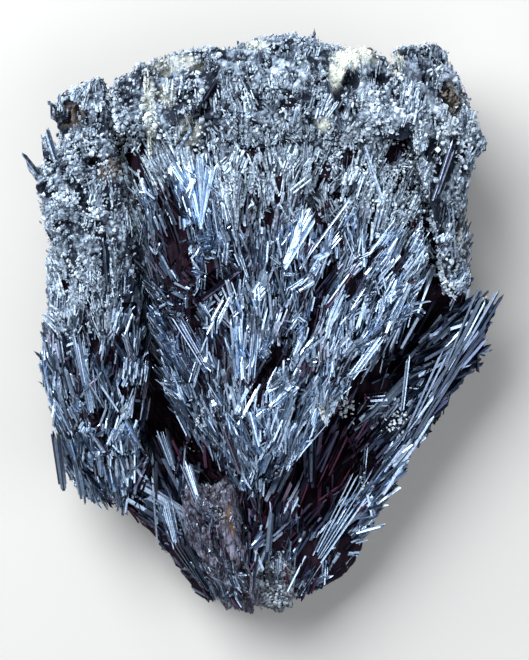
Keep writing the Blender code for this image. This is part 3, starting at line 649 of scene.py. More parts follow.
def flowAt(points, node):
    # the way that a node's prisms run, spread from its focus and stirred a little
    away = (points - np.array([*fans[node]["focus"], 0]) * mm) * np.array([1, 1, 0])
    swirl = sum(degrees * noiseAt(points, size, fans[node]["seed"] + seed) for degrees, size, seed in swirls)
    swirl = np.radians(swirl)
    if node == "lower_fan":
        swirl -= math.radians(leanTurn) * blobs(points, leaning)
    return turned(unit(away), np.tile(up, (len(points), 1)), swirl)


def coatAt(points):
    # how much of the grey crumbly coating lies on the crystals, from 0 to 1
    x, y = points[:, 0] / mm, points[:, 1] / mm
    edge = 6 - 4 * smoothStep(x, 12, 20) - 11 * smoothStep(-x, 13, 17) + 6 * smoothStep(-x, 2, 7) * (x > -13)
    rise = smoothStep(y, edge, edge + coating["depth"])
    least, more = coating["patches"]
    return np.clip(rise * coating["most"] + (least + more * rise) * noiseAt(points, coating["patchSize"], 5), 0, 1)


def facesOf(node):
    skin = skins[node]
    return (read(skin.polygons, "center", 3), read(skin.polygons, "normal", 3), read(skin.polygons, "area", 1))


def crumbly(centres):
    # grains and dull prisms crowd on some lumps and leave others
    return 0.15 + smoothStep(noiseAt(centres, 1.8, 9), -0.4, 0.2)


def skewed(rng, count, power, span):
    # mostly near the low end of the span
    return rng.uniform(0, 1, count) ** power * (span[1] - span[0]) + span[0]


def packetWeights(node, centres, normals, areas):
    # how many packets each face of the skin may carry
    weight = areas * openness(centres, normals)
    bare = packing["grooves"] * blobs(centres, grooves + pits)
    bare = np.maximum(bare, packing["hollows"] * blobs(centres, hollows))
    weight *= np.where(normals[:, 2] < -0.4, packing["under"], 1.0) * (1 - bare * (normals[:, 2] > 0))
    if node == "lower_fan":  # more of the short ones that stand on its ends
        weight *= 1 + packing["ends"] * smoothStep(np.abs(dots(flowAt(centres, node), normals)), 0.4, 0.7)
    if fans[node]["layers"] == "crumbled":
        weight *= crumbly(centres)
        bareCream = smoothStep(blobs(centres, creamPatches), 0.4, 0.8)
        weight *= (1 - packing["granular"] * blobs(centres, granular)) * (1 - bareCream)
    if node in crusts:
        weight *= 1 + packing["front"] * frontOf(centres, node)
    return weight / weight.sum()


def packetsOf(node, rng):
    # what the prisms of each packet share: its spot on the skin, way, tilt, size, roll and shade
    plan = fans[node]
    centres, normals, areas = facesOf(node)
    weight = packetWeights(node, centres, normals, areas)
    lots = []
    for layer in layers[plan["layers"]]:
        count = int(plan["packets"] * layer["share"])
        spots = rng.choice(len(centres), count, p=weight)
        at, facing = centres[spots], normals[spots]
        mess, big, glow = blobs(at, tangled), blobs(at, coarse), blobs(at, bright)
        spread = layer["turn"] + packing["tangleTurn"] * mess
        strayed = np.radians(np.clip(rng.normal(0, 1, count), -2, 2) * spread)
        ways = turned(flowAt(at, node), np.tile(up, (count, 1)), strayed)
        ways *= np.sign(dots(facing, ways) + 0.25)[:, None]
        reach = skewed(rng, count, 1.7, plan["length"])
        thick = skewed(rng, count, 1.8, plan["width"])
        relief = noiseAt(at, packing["reliefSize"], plan["seed"] + 3)
        if layer["turn"] < 15:
            reach *= 1 + packing["coarseLong"] * big
            thick *= 1 + packing["coarseThick"] * big
        reach *= (1 - packing["tangleShort"] * mess) * (1 - packing["coatShort"] * coatAt(at))
        low, high = layer["shade"]
        # painted highlight: packets in the bright places are painted lighter
        low = low + packing["glow"] * glow
        tilt = rng.uniform(*layer["lift"], count) + packing["tangleLift"] * mess * rng.uniform(0, 1, count)
        roll = 2.2 * noiseAt(at, packing["rollSize"], plan["seed"] + 2) + rng.normal(0, 0.55, count)
        level = rng.uniform(*layer["level"], count) + packing["reliefHeight"] * relief
        # painted light and shade: packets that the relief lifts are painted lighter, those it lowers darker
        shade = low + (high - low) * rng.beta(1.1, 1.15, count) + packing["reliefShade"] * relief
        tarnished = rng.uniform(0, 1, count) < packing["tarnished"]
        lots.append({
            "centre": at, "normal": facing, "way": ways, "tilt": np.radians(tilt),
            "reach": reach * layer["long"] * mm, "thick": thick * mm, "roll": roll, "level": level, "shade": shade,
            "tarnishAndMaroonShade": np.where(tarnished, rng.uniform(0.2, 0.8, count), 0),
            "many": rng.integers(layer["many"][0], layer["many"][1] + 1, count),
        })
    return {key: np.concatenate([lot[key] for lot in lots]) for key in lots[0]}


def trimmed(root, axis, length, free):
    # cuts each prism's ends back until neither is further than this outside the spray's outline
    for index in range(len(root)):
        away = axis[index] * (1, 1, 0)
        away *= free[index] / max(np.linalg.norm(away), 1e-9)
        for _ in range(4):
            if not outside(root[index] + axis[index] * length[index] - away):
                break
            length[index] *= growing["cut"]
        for _ in range(3):
            if not outside(root[index] + away):
                break
            root[index] += axis[index] * growing["movedIn"] * length[index]
            length[index] *= growing["cut"]
    held = np.array([not outside(spot) for spot in root + axis * (0.5 * length)[:, None]])
    return root, length, held


def tuckRim(root, axis, length, place, normal, held):
    # nothing hangs loose past the foot's sides: those prisms move in, or go
    for index in np.flatnonzero(held & (normal[:, 2] < rim["facing"]) & (place[:, 1] < rim["below"] * mm)):
        middle = root[index] + axis[index] * 0.5 * length[index]
        out = unit(normal[index] * (1, 1, 0)) * mm
        if outside(middle + rim["reach"] * out):
            root[index] -= rim["moved"] * out
            held[index] = not outside(middle - rim["spare"] * out)


def prismMarks(node, own, place, normal, level, sunk, rng):
    # shade, dull coat, maroon tint and cream of each prism; the maroon is partly tarnish and partly painted shade
    # with a red reflection
    count, look = len(place), shading
    coat = np.clip(coatAt(place) * (normal[:, 2] > -0.5) + rng.normal(0, look["coat"], count), 0, 1)
    # painted shade: prisms in grooves, hollows and pits, and those that lie deeper, are painted darker
    shade = own["shade"] + rng.normal(0, look["shade"], count) - look["sunk"] * sunk
    shade = shade + look["level"] * np.clip(level, -1.5, 0)
    start, full = look["lowFrom"]
    low = smoothStep(-place[:, 2] / mm, -start, -full) * (fans[node]["layers"] == "crystals")
    # painted shade with a red reflection: sunk, low and deep prisms are tinted more maroon
    maroon = look["sunkMaroonShade"] * sunk + look["lowMaroonShade"] * low + look["deepMaroonShade"] * smoothStep(-level, 0.5, 1.5)
    tarnishAndMaroonShade = own["tarnishAndMaroonShade"] + maroon * rng.uniform(0, 1, count)
    tarnishAndMaroonShade *= 1 - look["coarseMaroon"] * blobs(place, coarse)
    # painted shade: most prisms in the dim places are painted darker
    shade *= 1 - look["dim"] * blobs(place, dim) * (rng.uniform(0, 1, count) > look["stayBright"])
    # the fans' prisms are also darker towards the bottom
    shade = shade - look["lowShade"] * low
    if node == "upper_fan":
        least, more = look["upperFan"]
        shade += least + more * smoothStep(place[:, 1] / mm, -6, 0)
    if node == "base_matrix":
        shade, tarnishAndMaroonShade = look["rock"][0] * shade, tarnishAndMaroonShade + look["rock"][1]
    return np.clip(np.stack([shade, coat, tarnishAndMaroonShade, blobs(place, creamPatches)], axis=1), 0, 1)


def prismsOf(node, rng):
    # every prism of one node, as arrays of root, axes, size and marks
    plan, packets = fans[node], packetsOf(node, rng)
    owner = np.repeat(np.arange(len(packets["many"])), packets["many"])
    own = {key: values[owner] for key, values in packets.items()}
    count = len(owner)
    normal, way = own["normal"], own["way"]
    length = own["reach"] * rng.uniform(*growing["length"], count)
    width = own["thick"] * rng.uniform(*growing["width"], count)
    half = own["thick"] * own["many"] * growing["apart"]
    place = own["centre"] + unit(np.cross(normal, way)) * (rng.uniform(-1, 1, count) * half)[:, None]
    place = place + way * (rng.uniform(-growing["along"], growing["along"], count) * length)[:, None]
    for index in range(count):
        place[index], normal[index] = trees[node].find_nearest(Vector(place[index]))[:2]
    way = turned(way, normal, np.radians(rng.normal(0, growing["turn"], count)))
    rise = dots(way, normal)
    length *= 1 - growing["standingShort"] * smoothStep(np.abs(rise), 0.5, 0.85)
    if node == "lower_fan":
        length *= 1 - growing["footShort"] * smoothStep(-place[:, 1] / mm, 20, 25)
    flat = unit(way - normal * rise[:, None])
    angle = np.clip(np.arcsin(np.clip(rise, -1, 1)) * 0.65, -0.05, 0.7) + own["tilt"] * rng.uniform(0.5, 1.5, count)
    axis = unit(flat * np.cos(angle)[:, None] + normal * np.sin(angle)[:, None])
    side = turned(unit(np.cross(axis, normal)), axis, own["roll"] + rng.normal(0, growing["roll"], count))
    sunk = blobs(place, grooves + hollows + pits) * (normal[:, 2] > 0)
    level = own["level"] + rng.normal(0, growing["level"], count) + growing["rockLevel"] * (node == "base_matrix")
    root = place + normal * ((level - growing["sink"] * sunk) * mm)[:, None]
    root -= axis * (length * (0.5 + 0.25 * np.clip(angle, 0, 1)))[:, None]
    free = plan["free"] * smoothStep(place[:, 1] / mm, -29, -16)
    root, length, held = trimmed(root, axis, length, rng.uniform(0, 2, count) * free * mm)
    lowest = np.minimum(root[:, 2], root[:, 2] + axis[:, 2] * length) - width
    root[:, 2] += np.maximum(0.02 * mm - lowest, 0)
    marks = prismMarks(node, own, place, normal, level, sunk, rng)
    lost = growing["grooveLoss"] * blobs(place, grooves) * (normal[:, 2] > 0) * (level > -0.7)
    kept = rng.uniform(0, 1, count) > lost
    tuckRim(root, axis, length, place, normal, held)
    kept &= held
    whole = {
        "pick": rng.choice(len(prisms), count, p=[share for share, _ in prisms]),
        "places": root, "frames": np.stack([side, np.cross(axis, side), axis], axis=1),
        "sizes": np.stack([width, width * rng.uniform(*growing["broad"], count), length], axis=1),
        "marks": marks,
    }
    return {key: values[kept] for key, values in whole.items()}


# Bundles laid one by one: X and Y of the root and of the tip, how many prisms, their width, the
# spread at root and tip, shade, coat, tarnish with painted maroon shade, cream, and how high the root and the tip
# lie.
bundles = {
    "upper_needles": (
        (2.5, 6.5, 5.4, 12.4, 9, 0.42, 0.5, 1.8, 1, 0, 0, 0, 0.1, 0.6),
        (-2.3, -5.4, -2.7, 1, 6, 0.5, 0.9, 1.3, 1, 0, 0, 0, 0.2, 0.4),
        (-1, -5, -0.6, -0.3, 4, 0.32, 0.8, 0.8, 0.6, 0, 0, 0, 0.2, 0.4),
        (-6.4, 10.9, -8, 17.3, 6, 0.42, 0.3, 1.5, 1, 0, 0, 0, 0.2, 0.5),
        (-6.4, 10.9, -5.3, 17.1, 5, 0.36, 0.3, 1.2, 0.9, 0, 0, 0, 0.2, 0.5),
        (-6.2, 11.2, -6.6, 18.4, 4, 0.36, 0.3, 0.9, 0.8, 0, 0, 0, 0.2, 0.6),
        (-7.3, 14, -9.7, 18, 5, 0.42, 0.6, 1, 1, 0, 0, 0, 0.2, 0.5),
        (-5.9, -4.1, -8.9, 1, 8, 0.24, 0.9, 1.3, 0.15, 0, 0.1, 0, 0, 0.2),
        (10, -5.3, 13.1, -1.1, 5, 0.3, 0.8, 0.9, 0.95, 0, 0, 0, 0.2, 0.4),
        (-0.3, -12.4, -1.3, -8.5, 5, 0.42, 0.4, 0.9, 1, 0, 0, 0, 0.3, 0.5),
        (0.1, -15.7, 3.2, -6.7, 7, 0.4, 0.5, 1.8, 0.85, 0, 0, 0, 0.1, 0.4),
        (2.5, -13.3, 2.4, -10.2, 3, 0.36, 0.5, 0.6, 0.9, 0, 0, 0, 0.2, 0.4),
        (-3.6, -14.1, -6, -8.6, 6, 0.36, 0.6, 1.6, 0.6, 0, 0.1, 0, 0.1, 0.3),
        (-2.3, -15.7, -4.1, -10.2, 5, 0.36, 0.5, 1, 0.3, 0, 0.7, 0, 0.2, 0.4),
        (4.3, -13.8, 7.6, -9.7, 6, 0.32, 0.9, 1.3, 0.6, 0, 0, 0, 0.1, 0.3),
        (6.9, -10, 6, -7, 3, 0.5, 0.5, 0.9, 0.9, 0.8, 0, 0.6, 0.3, 0.5),
        (7.2, -10, 7.6, -7.3, 3, 0.5, 0.5, 0.9, 1, 0.8, 0, 0.6, 0.3, 0.6),
        (7.7, -9.5, 8.6, -6.9, 3, 0.45, 0.4, 0.8, 0.9, 0.8, 0, 0.6, 0.3, 0.5),
        (10.1, 10.9, 10, 14.9, 1, 0.3, 0, 0, 1, 0, 0, 0, 0.6, 0.9),
        (10.2, 13.8, 11, 16.4, 2, 0.26, 0.3, 0.3, 1, 0, 0, 0, 0.5, 0.8),
        (13.2, 13.1, 11, 19.5, 2, 0.5, 0.3, 0.4, 0.7, 0.3, 0, 0, 0.5, 0.9),
        (4.3, 6.5, 10.5, 15.1, 2, 0.24, 0.2, 0.3, 0.8, 0, 0, 0, 0.5, 0.8),
        (-6.3, 3, -2.3, 6.1, 3, 0.5, 0.6, 0.6, 0.05, 0, 0.4, 0, 0, 0.1),
        (7, 2.1, 10.5, 7.2, 4, 0.26, 0.6, 1, 0.1, 0, 0.6, 0, -0.2, 0),
    ),
    "left_needles": (
        (-17.4, -16.6, -17.7, -13.3, 4, 0.45, 0.6, 0.8, 1, 0, 0, 0, 0.2, 0.4),
        (-13.5, -13.1, -15.1, -10.2, 5, 0.4, 0.7, 1, 1, 0, 0, 0, 0.2, 0.4),
        (-15.7, -19.6, -16.4, -15.7, 4, 0.4, 0.6, 0.8, 0.5, 0, 0.1, 0, 0, 0.2),
        (-21.9, -17.9, -22.7, -11.6, 5, 0.55, 0.8, 1, 0.15, 0, 0.1, 0, -0.2, 0.1),
        (-19.7, -19, -20.6, -13.5, 4, 0.48, 0.6, 0.8, 0.4, 0, 0, 0, 0, 0.2),
        (-21.5, -8, -23.4, -1.4, 6, 0.32, 0.7, 1.2, 0.7, 0, 0, 0, 0.1, 0.2),
        (-18.5, -9, -19.9, -1, 7, 0.34, 0.7, 1.4, 0.75, 0, 0, 0, 0.2, 0.4),
    ),
    "lower_needles": (
        (20.8, -5, 25.6, 4.2, 5, 0.7, 1.4, 3.4, 0.2, 0, 0, 0, 0.2, 0.3),
        (18.8, -7.6, 24.3, -0.3, 5, 0.6, 1.5, 3, 0.15, 0, 0.1, 0, 0.2, 0.4),
        (16.4, -12.4, 21.6, -2.5, 5, 0.55, 1.4, 3.2, 0.15, 0, 0.1, 0, 0.2, 0.5),
        (15.7, -9.1, 16.4, -2.8, 2, 0.26, 0.4, 0.4, 1, 0, 0, 0, 0.6, 0.9),
        (4.3, -29.2, 9.8, -19, 6, 0.34, 1.2, 3.4, 0.8, 0, 0, 0, 0.2, 0.4),
        (6.3, -25.6, 12.2, -15.7, 6, 0.34, 1.4, 3.4, 0.7, 0, 0, 0, 0.2, 0.3),
        (10.9, -22.9, 13.8, -22.1, 2, 0.4, 0.3, 0.3, 0.8, 0, 0, 0, 0.2, 0.2),
        (3.8, -29.9, 7.8, -27.4, 5, 0.4, 0.6, 1, 0.8, 0, 0, 0, 0.1, 0.2),
        (-9.8, -15.7, -11.1, -11.6, 8, 0.32, 0.8, 1.6, 0.8, 0, 0, 0, 0.4, 0.8),
        (-7, -19, -8.5, -14.9, 8, 0.3, 0.8, 1.6, 0.25, 0, 0.1, 0, 0.3, 0.7),
        (-9.6, -24.3, -10.8, -19.2, 8, 0.3, 1.3, 1.9, 1, 0.2, 0, 0, 0.3, 0.5),
        (-6.2, -28.9, -9.4, -23.4, 6, 0.28, 1, 2.2, 0.4, 0, 0.1, 0, 0.2, 0.4),
    ),
    "crown_needles": (
        (-24.3, 16.7, -26.3, 19.3, 3, 0.45, 0.5, 0.3, 0.2, 0.2, 0.1, 0, 0, 0),
        (-22.1, 17.8, -23.4, 21.9, 3, 0.6, 0.5, 0.5, 0.25, 0.2, 0, 0, 0.6, 0.6),
        (3.5, 21.7, 3.8, 23.2, 2, 0.32, 0.4, 0.4, 1, 0.1, 0, 0, 0.6, 0.8),
        (-9.1, 18.5, -7.3, 21.3, 2, 0.5, 0.3, 0.3, 0.8, 0.3, 0, 0, 0.6, 0.8),
        (-9.1, 19.5, -4.8, 26.3, 3, 0.4, 0.4, 0.4, 0.05, 0.1, 0.3, 0, 0.1, 0.2),
        (-11.9, 18.4, -12.4, 27.7, 4, 0.36, 0.4, 0.6, 0.7, 0.9, 0, 0.8, 0.4, 0.5),
        (8.3, 21.6, 6.9, 26.6, 2, 0.6, 0.4, 0.5, 0.25, 0.1, 0.1, 0, 0.5, 0.6),
        (-16.6, 4.1, -16.9, 9.7, 4, 0.36, 0.5, 0.5, 0.1, 0.1, 0.1, 0, 0, 0.1),
        (18.8, 14, 20.8, 20, 5, 0.42, 0.6, 0.8, 0.15, 0.1, 0.2, 0, 0.2, 0.3),
        (21, 7.4, 20.5, 13.4, 4, 0.4, 0.6, 0.8, 0.3, 0.1, 0.1, 0, 0.3, 0.4),
    ),
}


bundleForm = {  # how a bundle's prisms differ: shifts in mm, but the tip's in shares of the length
    "root": (-0.5, 0.6), "tip": (-0.16, 0.06), "lift": (-0.2, 0.15), "roll": 0.7, "flat": (0.5, 0.9),
    "shade": 0.08, "slope": 0.3,
}


def bundleRows(table, rng):
    rows, form = [], bundleForm
    for x0, y0, x1, y1, many, thick, spread0, spread1, shade, coat, tarnishAndMaroonShade, cream, low, high in table:
        root, tip = np.array([x0, y0]) * mm, np.array([x1, y1]) * mm
        span = np.linalg.norm(tip - root)
        way = (tip - root) / span
        side = np.array([way[1], -way[0]])
        bottom = topAt(*root, 0.01)
        top = topAt(*(tip - way * mm), bottom)
        slope = form["slope"] * span
        bottom, top = max(bottom, top - slope), max(top, bottom - slope)
        roll = rng.uniform(-0.5, 0.5)
        for number in range(many):
            share = (number + 0.5) / many - 0.5
            a = root + side * spread0 * mm * share + way * rng.uniform(*form["root"]) * mm
            b = tip + side * spread1 * mm * share + way * rng.uniform(*form["tip"]) * span
            start = np.array([*a, bottom + (low + rng.uniform(*form["lift"])) * mm])
            end = np.array([*b, top + (high + rng.uniform(*form["lift"])) * mm])
            axis = unit(end - start)
            spin = np.array([roll + rng.normal(0, form["roll"])])
            across = turned(unit(np.cross(axis, up))[None], axis[None], spin)[0]
            width = thick * rng.uniform(*growing["broad"]) * mm
            rows.append({
                "places": start, "frames": np.stack([across, np.cross(axis, across), axis]),
                "sizes": np.array([width, width * rng.uniform(*form["flat"]), np.linalg.norm(end - start)]),
                "marks": np.clip([shade + rng.normal(0, form["shade"]), coat, tarnishAndMaroonShade, cream], 0, 1),
                "pick": rng.integers(0, 3),
            })
    return {key: np.array([row[key] for row in rows]) for key in rows[0]}


def addNeedles(most=190000):
    # the prisms of each piece in one mesh, or side by side in more where it has over most triangles
    lots = {}
    for node, plan in fans.items():
        lots.setdefault(plan["piece"], []).append(prismsOf(node, np.random.default_rng(plan["seed"])))
    for name, table in bundles.items():
        lots[name].append(bundleRows(table, np.random.default_rng(5)))
    shapes = [shape for _, shape in prisms]
    faceCounts = np.array([len(faces) for _, faces in shapes])
    for name, parts in lots.items():
        whole = {key: np.concatenate([part[key] for part in parts]) for key in parts[0]}
        pieces = int(faceCounts[whole["pick"]].sum() // most) + 1
        across = np.argsort(np.argsort(whole["places"][:, 0])) * pieces // len(whole["pick"])
        for number in range(pieces):
            some = {key: values[across == number] for key, values in whole.items()}
            label = name if pieces == 1 else name + "_%d" % (number + 1)
            mesh = joined(label, shapes, seed=3 + number, **some)
            piece(label, mesh, stibnite)
            print(label, len(some["pick"]), "prisms,", len(mesh.polygons), "triangles")


addNeedles()


# Each fan's core is the fan's own form, drawn in so that the prisms fill its outline; it is painted near-black, as
# the shade between the prisms.
cores = {"upper_fan": 0.7, "lower_fan": 0.9, "left_fan": 0.7}  # the size of a core's faces in mm
coreForm = {"rounds": 14, "inward": 0.9, "inwardAtFoot": 0.4, "sink": 2.2, "rough": 0.2, "roughSize": 1.2}


def addCore(node):
    mesh = skinOf(node, cores[node], coreForm["rounds"])
    points, normals = pointsOf(mesh)
    sunk = blobs(points, grooves + hollows + pits) * smoothStep(normals[:, 2], 0.1, 0.6)
    points = unflipped(mesh, points, lowered(points, normals, treeOf(mesh), coreForm["sink"] * mm * sunk))
    moveTo(mesh, points)
    normals = read(mesh.vertices, "normal", 3)
    foot = smoothStep(-points[:, 1] / mm, 19, 25)
    inward = coreForm["inward"] * (1 - (1 - coreForm["inwardAtFoot"]) * foot)
    depth = (inward + coreForm["rough"] * noiseAt(points, coreForm["roughSize"], 3)) * mm
    depth = np.minimum(depth, thinnest * roomUnder(points, -normals, treeOf(mesh)))
    swollen(mesh, points, normals, -depth)
    core = piece(node + "_core", mesh, shadows)
    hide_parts(node)
    print(core.name, len(mesh.polygons))


for node in cores:
    addCore(node)


# The crusts: lumpy masses with pits, then grains and specks over them.
brownPatches = (
    (-6.4, -16.3, 8.7, 0.9, -28, 0.5),
    (-9.6, 28.4, 3.2, 1, 80, 0.2), (-15.8, 17.2, 1.9, 1, 50, 0.7), (21.2, 25, 1.8, 1, -10, 0.5),
    (-21, 23.3, 1.6, 1.3, 20, 0.8), (11.2, 29.6, 1.6, 0.7, 60, 0.7), (22.6, 10.4, 2.4, 0.7, 0, 0.5),
)
crustForm = {  # sizes and heights in mm
    "voxel": 0.34, "rounds": 2, "out": 0.1, "lumpSize": 1.4, "lump": 0.6, "crumbSize": 0.7, "crumb": 0.35,
    "swellSize": 3.0, "swell": 0.25, "deepSize": 1.6, "deep": 0.9, "pit": 2.2, "mostOut": 0.5, "roomShare": 0.3,
    "atFront": 0.15,
}
crustShades = {  # what makes the crust darker, lighter, cream or brown, with painted shade in its pits, hollows and front; sizes and heights are in mm
    "base": 0.62, "wide": (0.26, 2.6), "narrow": (0.2, 0.8), "pits": 1.2, "lumps": (0.04, 0.2),
    "creamFrom": (15, 17.5), "creamEdge": (1.2, 1.1, 8), "brownBelow": (12, 7), "brown": 0.35,
    "mass": -0.15, "swell": 0.5, "front": -0.4,
}
grains = {  # how many, and their size
    "top_crust": (4300, (0.12, 0.62)), "left_crust": (2600, (0.12, 0.55)), "right_crust": (1800, (0.14, 0.65)),
    "upper_fan": (3400, (0.12, 0.45)), "left_fan": (900, (0.14, 0.45)), "base_matrix": (900, (0.12, 0.5)),
    "lower_fan": (700, (0.12, 0.45)),
}
grainForm = {
    "clump": 7, "spread": 0.55, "irregular": (0.4, 1.4), "level": (-0.05, 0.18), "shade": (-0.06, 0.07),
    "kinds": (0.55, 0.2, 0.25),  # the shares of crumbs, blocks and rounder grains
}
specks = (  # x, y, how far they spread, how many, size, shade, cream, brown
    (15.3, -10.4, 0.9, 60, 0.42, 0.8, 0.15, 0), (9.4, -9, 0.7, 30, 0.45, 0.9, 0.15, 0),
    (-6.4, -10, 0.5, 26, 0.36, 0.8, 0.3, 0), (-15, -9.1, 0.1, 3, 1.3, 0.5, 0, 0),
    (23.2, 5.5, 0.3, 8, 0.7, 1, 0.6, 0), (22, 9.6, 0.8, 40, 0.5, 0.8, 0.2, 0.4),
    (20.5, 4.2, 0.5, 22, 0.5, 1, 0.8, 0), (19.7, 7, 0.5, 18, 0.3, 0.9, 0.8, 0),
    (20.2, 21.4, 0.9, 50, 0.6, 1, 0.2, 0), (20.6, 24.8, 0.7, 34, 0.5, 0.3, 0, 0.9),
    (16.6, -25.4, 0.5, 16, 0.5, 0.7, 0.3, 0.3), (25, 3.2, 0.5, 14, 0.35, 0.9, 0.4, 0),
    (12.6, -26, 0.7, 20, 0.5, 0.3, 0, 0.8), (11.6, -17.2, 0.4, 10, 0.35, 0.9, 0.5, 0),
)


def crustMarks(points, normals, seed):
    # shade, cream and brown of the crust at these points
    top, look = normals[:, 2] > -0.3, crustShades
    shade = look["base"]
    for own, (strength, size) in enumerate((look["wide"], look["narrow"])):
        shade = shade + strength * noiseAt(points, size, seed + own)
    least, more = look["lumps"]
    lighter = (least + more * smoothStep(points[:, 0] / mm, 0, 10)) * blobs(points, granular)
    # painted shade: the crust is painted darker in its pits and grooves
    shade += lighter - look["pits"] * blobs(points, pits + grooves) * top
    ragged, size, own = look["creamEdge"]
    high = smoothStep(points[:, 2] / mm + ragged * noiseAt(points, size, own), *look["creamFrom"]) * top
    cream = blobs(points, creamPatches) * high * (1 - blobs(points, pits))
    start, full = look["brownBelow"]
    under = look["brown"] * smoothStep(-points[:, 2], -start * mm, -full * mm)
    brown = np.maximum(blobs(points, brownPatches) * top, under)
    return np.stack([np.clip(shade, 0, 1), cream, brown, np.ones(len(points))], axis=1)


def addCrust(node):
    seed, form = crusts[node]["seed"], crustForm
    mesh = skinOf(node, form["voxel"], form["rounds"])
    thinned(mesh, node)
    points, normals = pointsOf(mesh)
    deep = smoothStep(noiseAt(points, form["deepSize"], seed), 0.15, 0.6)
    swell = form["out"] - form["lump"] * cellsAt(points, form["lumpSize"])
    swell = swell - form["crumb"] * cellsAt(points, form["crumbSize"])
    swell = swell + form["swell"] * noiseAt(points, form["swellSize"], 2) - form["deep"] * deep
    swell -= form["pit"] * blobs(points, pits + grooves) * (normals[:, 2] > 0)
    marks = crustMarks(points, normals, seed)
    front = frontOf(points, node)
    look = crustShades
    # painted light and shade: the mass is painted lighter on its lumps, darker in its hollows and at its front, and
    # a little darker overall
    marks[:, 0] = np.clip(marks[:, 0] + look["mass"] + look["swell"] * swell + look["front"] * front, 0, 1)
    room = roomUnder(points, -normals, treeOf(mesh)) / mm
    swell = np.clip(swell, -form["roomShare"] * room, form["mostOut"]) * (1 - (1 - form["atFront"]) * front)
    swollen(mesh, points, normals, swell * mm)
    addMarks(mesh, marks)
    mass = piece(node + "_mass", mesh, crustStone)
    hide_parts(node)
    print(mass.name, len(mesh.polygons))


def speckRows(table, rng):
    places, sizes, marks = [], [], []
    for x, y, spread, many, size, shade, cream, brown in table:
        for _ in range(many):
            spot = np.array([x, y]) * mm + rng.normal(0, spread * mm, 2)
            if outside(spot):
                continue
            places.append([*spot, topAt(*spot, 0.01) + rng.uniform(-0.1, 0.15) * mm])
            sizes.append(size * rng.uniform(0.2, 1.2, 3) * mm)
            marks.append(np.clip([shade + rng.normal(0, 0.12), cream * rng.uniform(0.5, 1.1), brown, 1], 0, 1))
    return places, marks, sizes


def grainWeights(node, centres, normals, areas):
    # how many grains each face of the skin may carry
    weight = areas * np.where(normals[:, 2] < -0.3, 0.3, 1)
    weight *= crumbly(centres)
    weight *= (0.4 + blobs(centres, granular)) * (1 - 0.9 * blobs(centres, pits + grooves))
    if node in crusts:
        weight *= 1 + 2 * frontOf(centres, node)
    if node in ("upper_fan", "left_fan"):  # they thin out with the coating
        weight *= coatAt(centres) ** 1.3 * (normals[:, 2] > -0.2)
    if node in ("base_matrix", "lower_fan"):
        weight *= blobs(centres, granular) * (normals[:, 2] > 0)
    return weight / weight.sum()


def addGrains(name, seed):
    rng = np.random.default_rng(seed)
    places, marks, sizes = [[rows] for rows in speckRows(specks, rng)]
    for node, (count, size) in grains.items():
        centres, normals, areas = facesOf(node)
        weight = grainWeights(node, centres, normals, areas)
        clumps = rng.choice(len(centres), count // grainForm["clump"], p=weight)
        owner = rng.integers(0, len(clumps), count)
        reach = size[0] + (size[1] - size[0]) * rng.uniform(0, 1, count) ** 2.0
        spot = centres[clumps][owner] + rng.normal(0, grainForm["spread"], (count, 3)) * mm
        facing = np.empty((count, 3))
        for index in range(count):
            spot[index], facing[index] = trees[node].find_nearest(Vector(spot[index]))[:2]
        level = rng.normal(*grainForm["level"], count) - 2.0 * blobs(spot, pits + grooves)
        placed = spot + facing * (level * mm)[:, None]
        placed[:, 2] = np.maximum(placed[:, 2], 0.6 * reach * mm)
        places.append(placed)
        sizes.append(reach[:, None] * rng.uniform(*grainForm["irregular"], (count, 3)) * mm)
        mark = crustMarks(spot, facing, seed)
        mark[:, 0] = np.clip(mark[:, 0] + rng.normal(*grainForm["shade"], count), 0, 1)
        marks.append(mark)
    places, sizes, marks = np.concatenate(places), np.concatenate(sizes), np.concatenate(marks)
    first = unit(rng.normal(0, 1, places.shape))
    second = unit(np.cross(first, rng.normal(0, 1, places.shape)))
    frames = np.stack([first, second, np.cross(first, second)], axis=1)
    pick = rng.choice(3, len(places), p=grainForm["kinds"])
    mesh = joined(name, crumbShapes(), pick, places, frames, sizes, marks, seed)
    piece(name, mesh, crustStone)
    print(name, len(places), "grains,", len(mesh.polygons), "triangles")


for node in crusts:
    addCrust(node)
addGrains("crown_grains", 71)


# The dark lump at the foot, with its fibres and its pale and amber places.
rockForm = {
    "voxel": 0.3, "rounds": 2, "lean": 18, "along": 0.22,
    "fibres": ((0.7, 1.3, 2), (0.45, 0.5, 6)), "crumb": (0.12, 0.6, 8), "sink": 0.3,  # height, size, seed
    "paleFrom": (-0.9, 0.3), "paleBelow": -24.6, "amber": ((-3.4, -21.2, 2.0, 0.4, -12, 0.7),),
}


def addRock(form):
    mesh = skinOf("base_matrix", form["voxel"], form["rounds"])
    points, normals = pointsOf(mesh)
    lean = math.radians(form["lean"])
    across = points @ np.array([math.cos(lean), math.sin(lean), 0])
    lengthways = points @ np.array([-math.sin(lean), math.cos(lean), 0])
    grained = np.stack([across, form["along"] * lengthways, points[:, 2]], axis=1)
    rough = sum(high * noiseAt(grained, size, seed) for high, size, seed in form["fibres"])
    high, size, seed = form["crumb"]
    rough = rough + high * noiseAt(points, size, seed) - form["sink"]
    swollen(mesh, points, normals, rough * mm)
    pale = smoothStep(points[:, 0], *np.array(form["paleFrom"]) * mm) * (points[:, 1] < form["paleBelow"] * mm)
    amber = blobs(points, form["amber"]) * (normals[:, 2] > 0)
    addMarks(mesh, np.stack([np.zeros(len(points)), pale, amber, np.ones(len(points))], axis=1))
    lump = piece("base_rock", mesh, rock)
    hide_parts("base_matrix")
    print(lump.name, len(mesh.polygons))


addRock(rockForm)


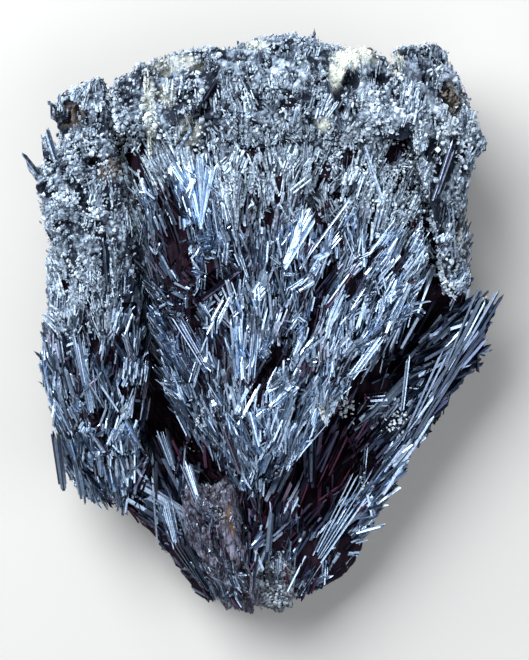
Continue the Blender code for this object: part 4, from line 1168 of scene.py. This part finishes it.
# The studio. Places and sizes are in mm, powers in watts.
studio = {
    "floor": (0.42, 0.42, 0.415), "floorSize": 340, "sky": (0.42, 0.62, 1.0), "skyPower": 0.085,
    "wall": (0.72, 0.72, 0.71), "aim": (0.385, -0.33, 12.0), "height": 300, "tall": 72.6, "lampAim": (0, 0, 10),
    "key": {"at": (-170, 190, 270), "size": 300, "power": 3.8},
    "fill": {"at": (230, -60, 200), "size": 220, "power": 0.5},
    "top": {"at": (60, -150, 370), "size": 220, "power": 0.4},
}


def addLamp(name, at, size, power):
    light = bpy.data.lights.new(name, "AREA")
    light.shape, light.size, light.energy = "SQUARE", size * mm, power
    lamp = bpy.data.objects.new(name, light)
    bpy.context.scene.collection.objects.link(lamp)
    lamp.location = Vector(at) * mm
    lamp.rotation_euler = (Vector(studio["lampAim"]) * mm - lamp.location).to_track_quat("-Z", "Y").to_euler()


def addFloor(plan):
    mesh = bpy.data.meshes.new("floor")
    bm = bmesh.new()
    bmesh.ops.create_grid(bm, x_segments=1, y_segments=1, size=plan["floorSize"] * mm)
    bm.to_mesh(mesh)
    bm.free()
    paper, tree, shader = newMaterial("floor_paper", Roughness=0.9)
    feed(tree, shader.inputs["Base Color"], plan["floor"])
    mesh.materials.append(paper)
    floor = bpy.data.objects.new("floor", mesh)
    bpy.context.scene.collection.objects.link(floor)


def addSky(plan):
    world = bpy.data.worlds.new("studio")
    world.use_nodes = True
    tree = world.node_tree
    tree.nodes.clear()
    soft = add(tree, "Background", plan["sky"], plan["skyPower"])
    wall = add(tree, "Background", plan["wall"])  # past the floor's edge
    seen = add(tree, "LightPath").outputs["Is Camera Ray"]
    both = add(tree, "MixShader", seen, soft.outputs[0], wall.outputs[0])
    add(tree, "OutputWorld", both.outputs[0])
    bpy.context.scene.world = world


def addCamera(plan):
    lens = bpy.data.cameras.new("camera")
    lens.sensor_fit, lens.clip_start = "VERTICAL", 0.01
    lens.angle = 2 * math.atan(plan["tall"] / 2 / plan["height"])
    camera = bpy.data.objects.new("camera", lens)
    bpy.context.scene.collection.objects.link(camera)
    camera.location = (Vector(plan["aim"]) + Vector((0, 0, plan["height"]))) * mm
    bpy.context.scene.camera = camera


for name in ("key", "fill", "top"):
    addLamp(name, **studio[name])
addFloor(studio)
addSky(studio)
addCamera(studio)
bpy.context.scene.view_settings.view_transform = "Standard"
print("studio")
print("done")
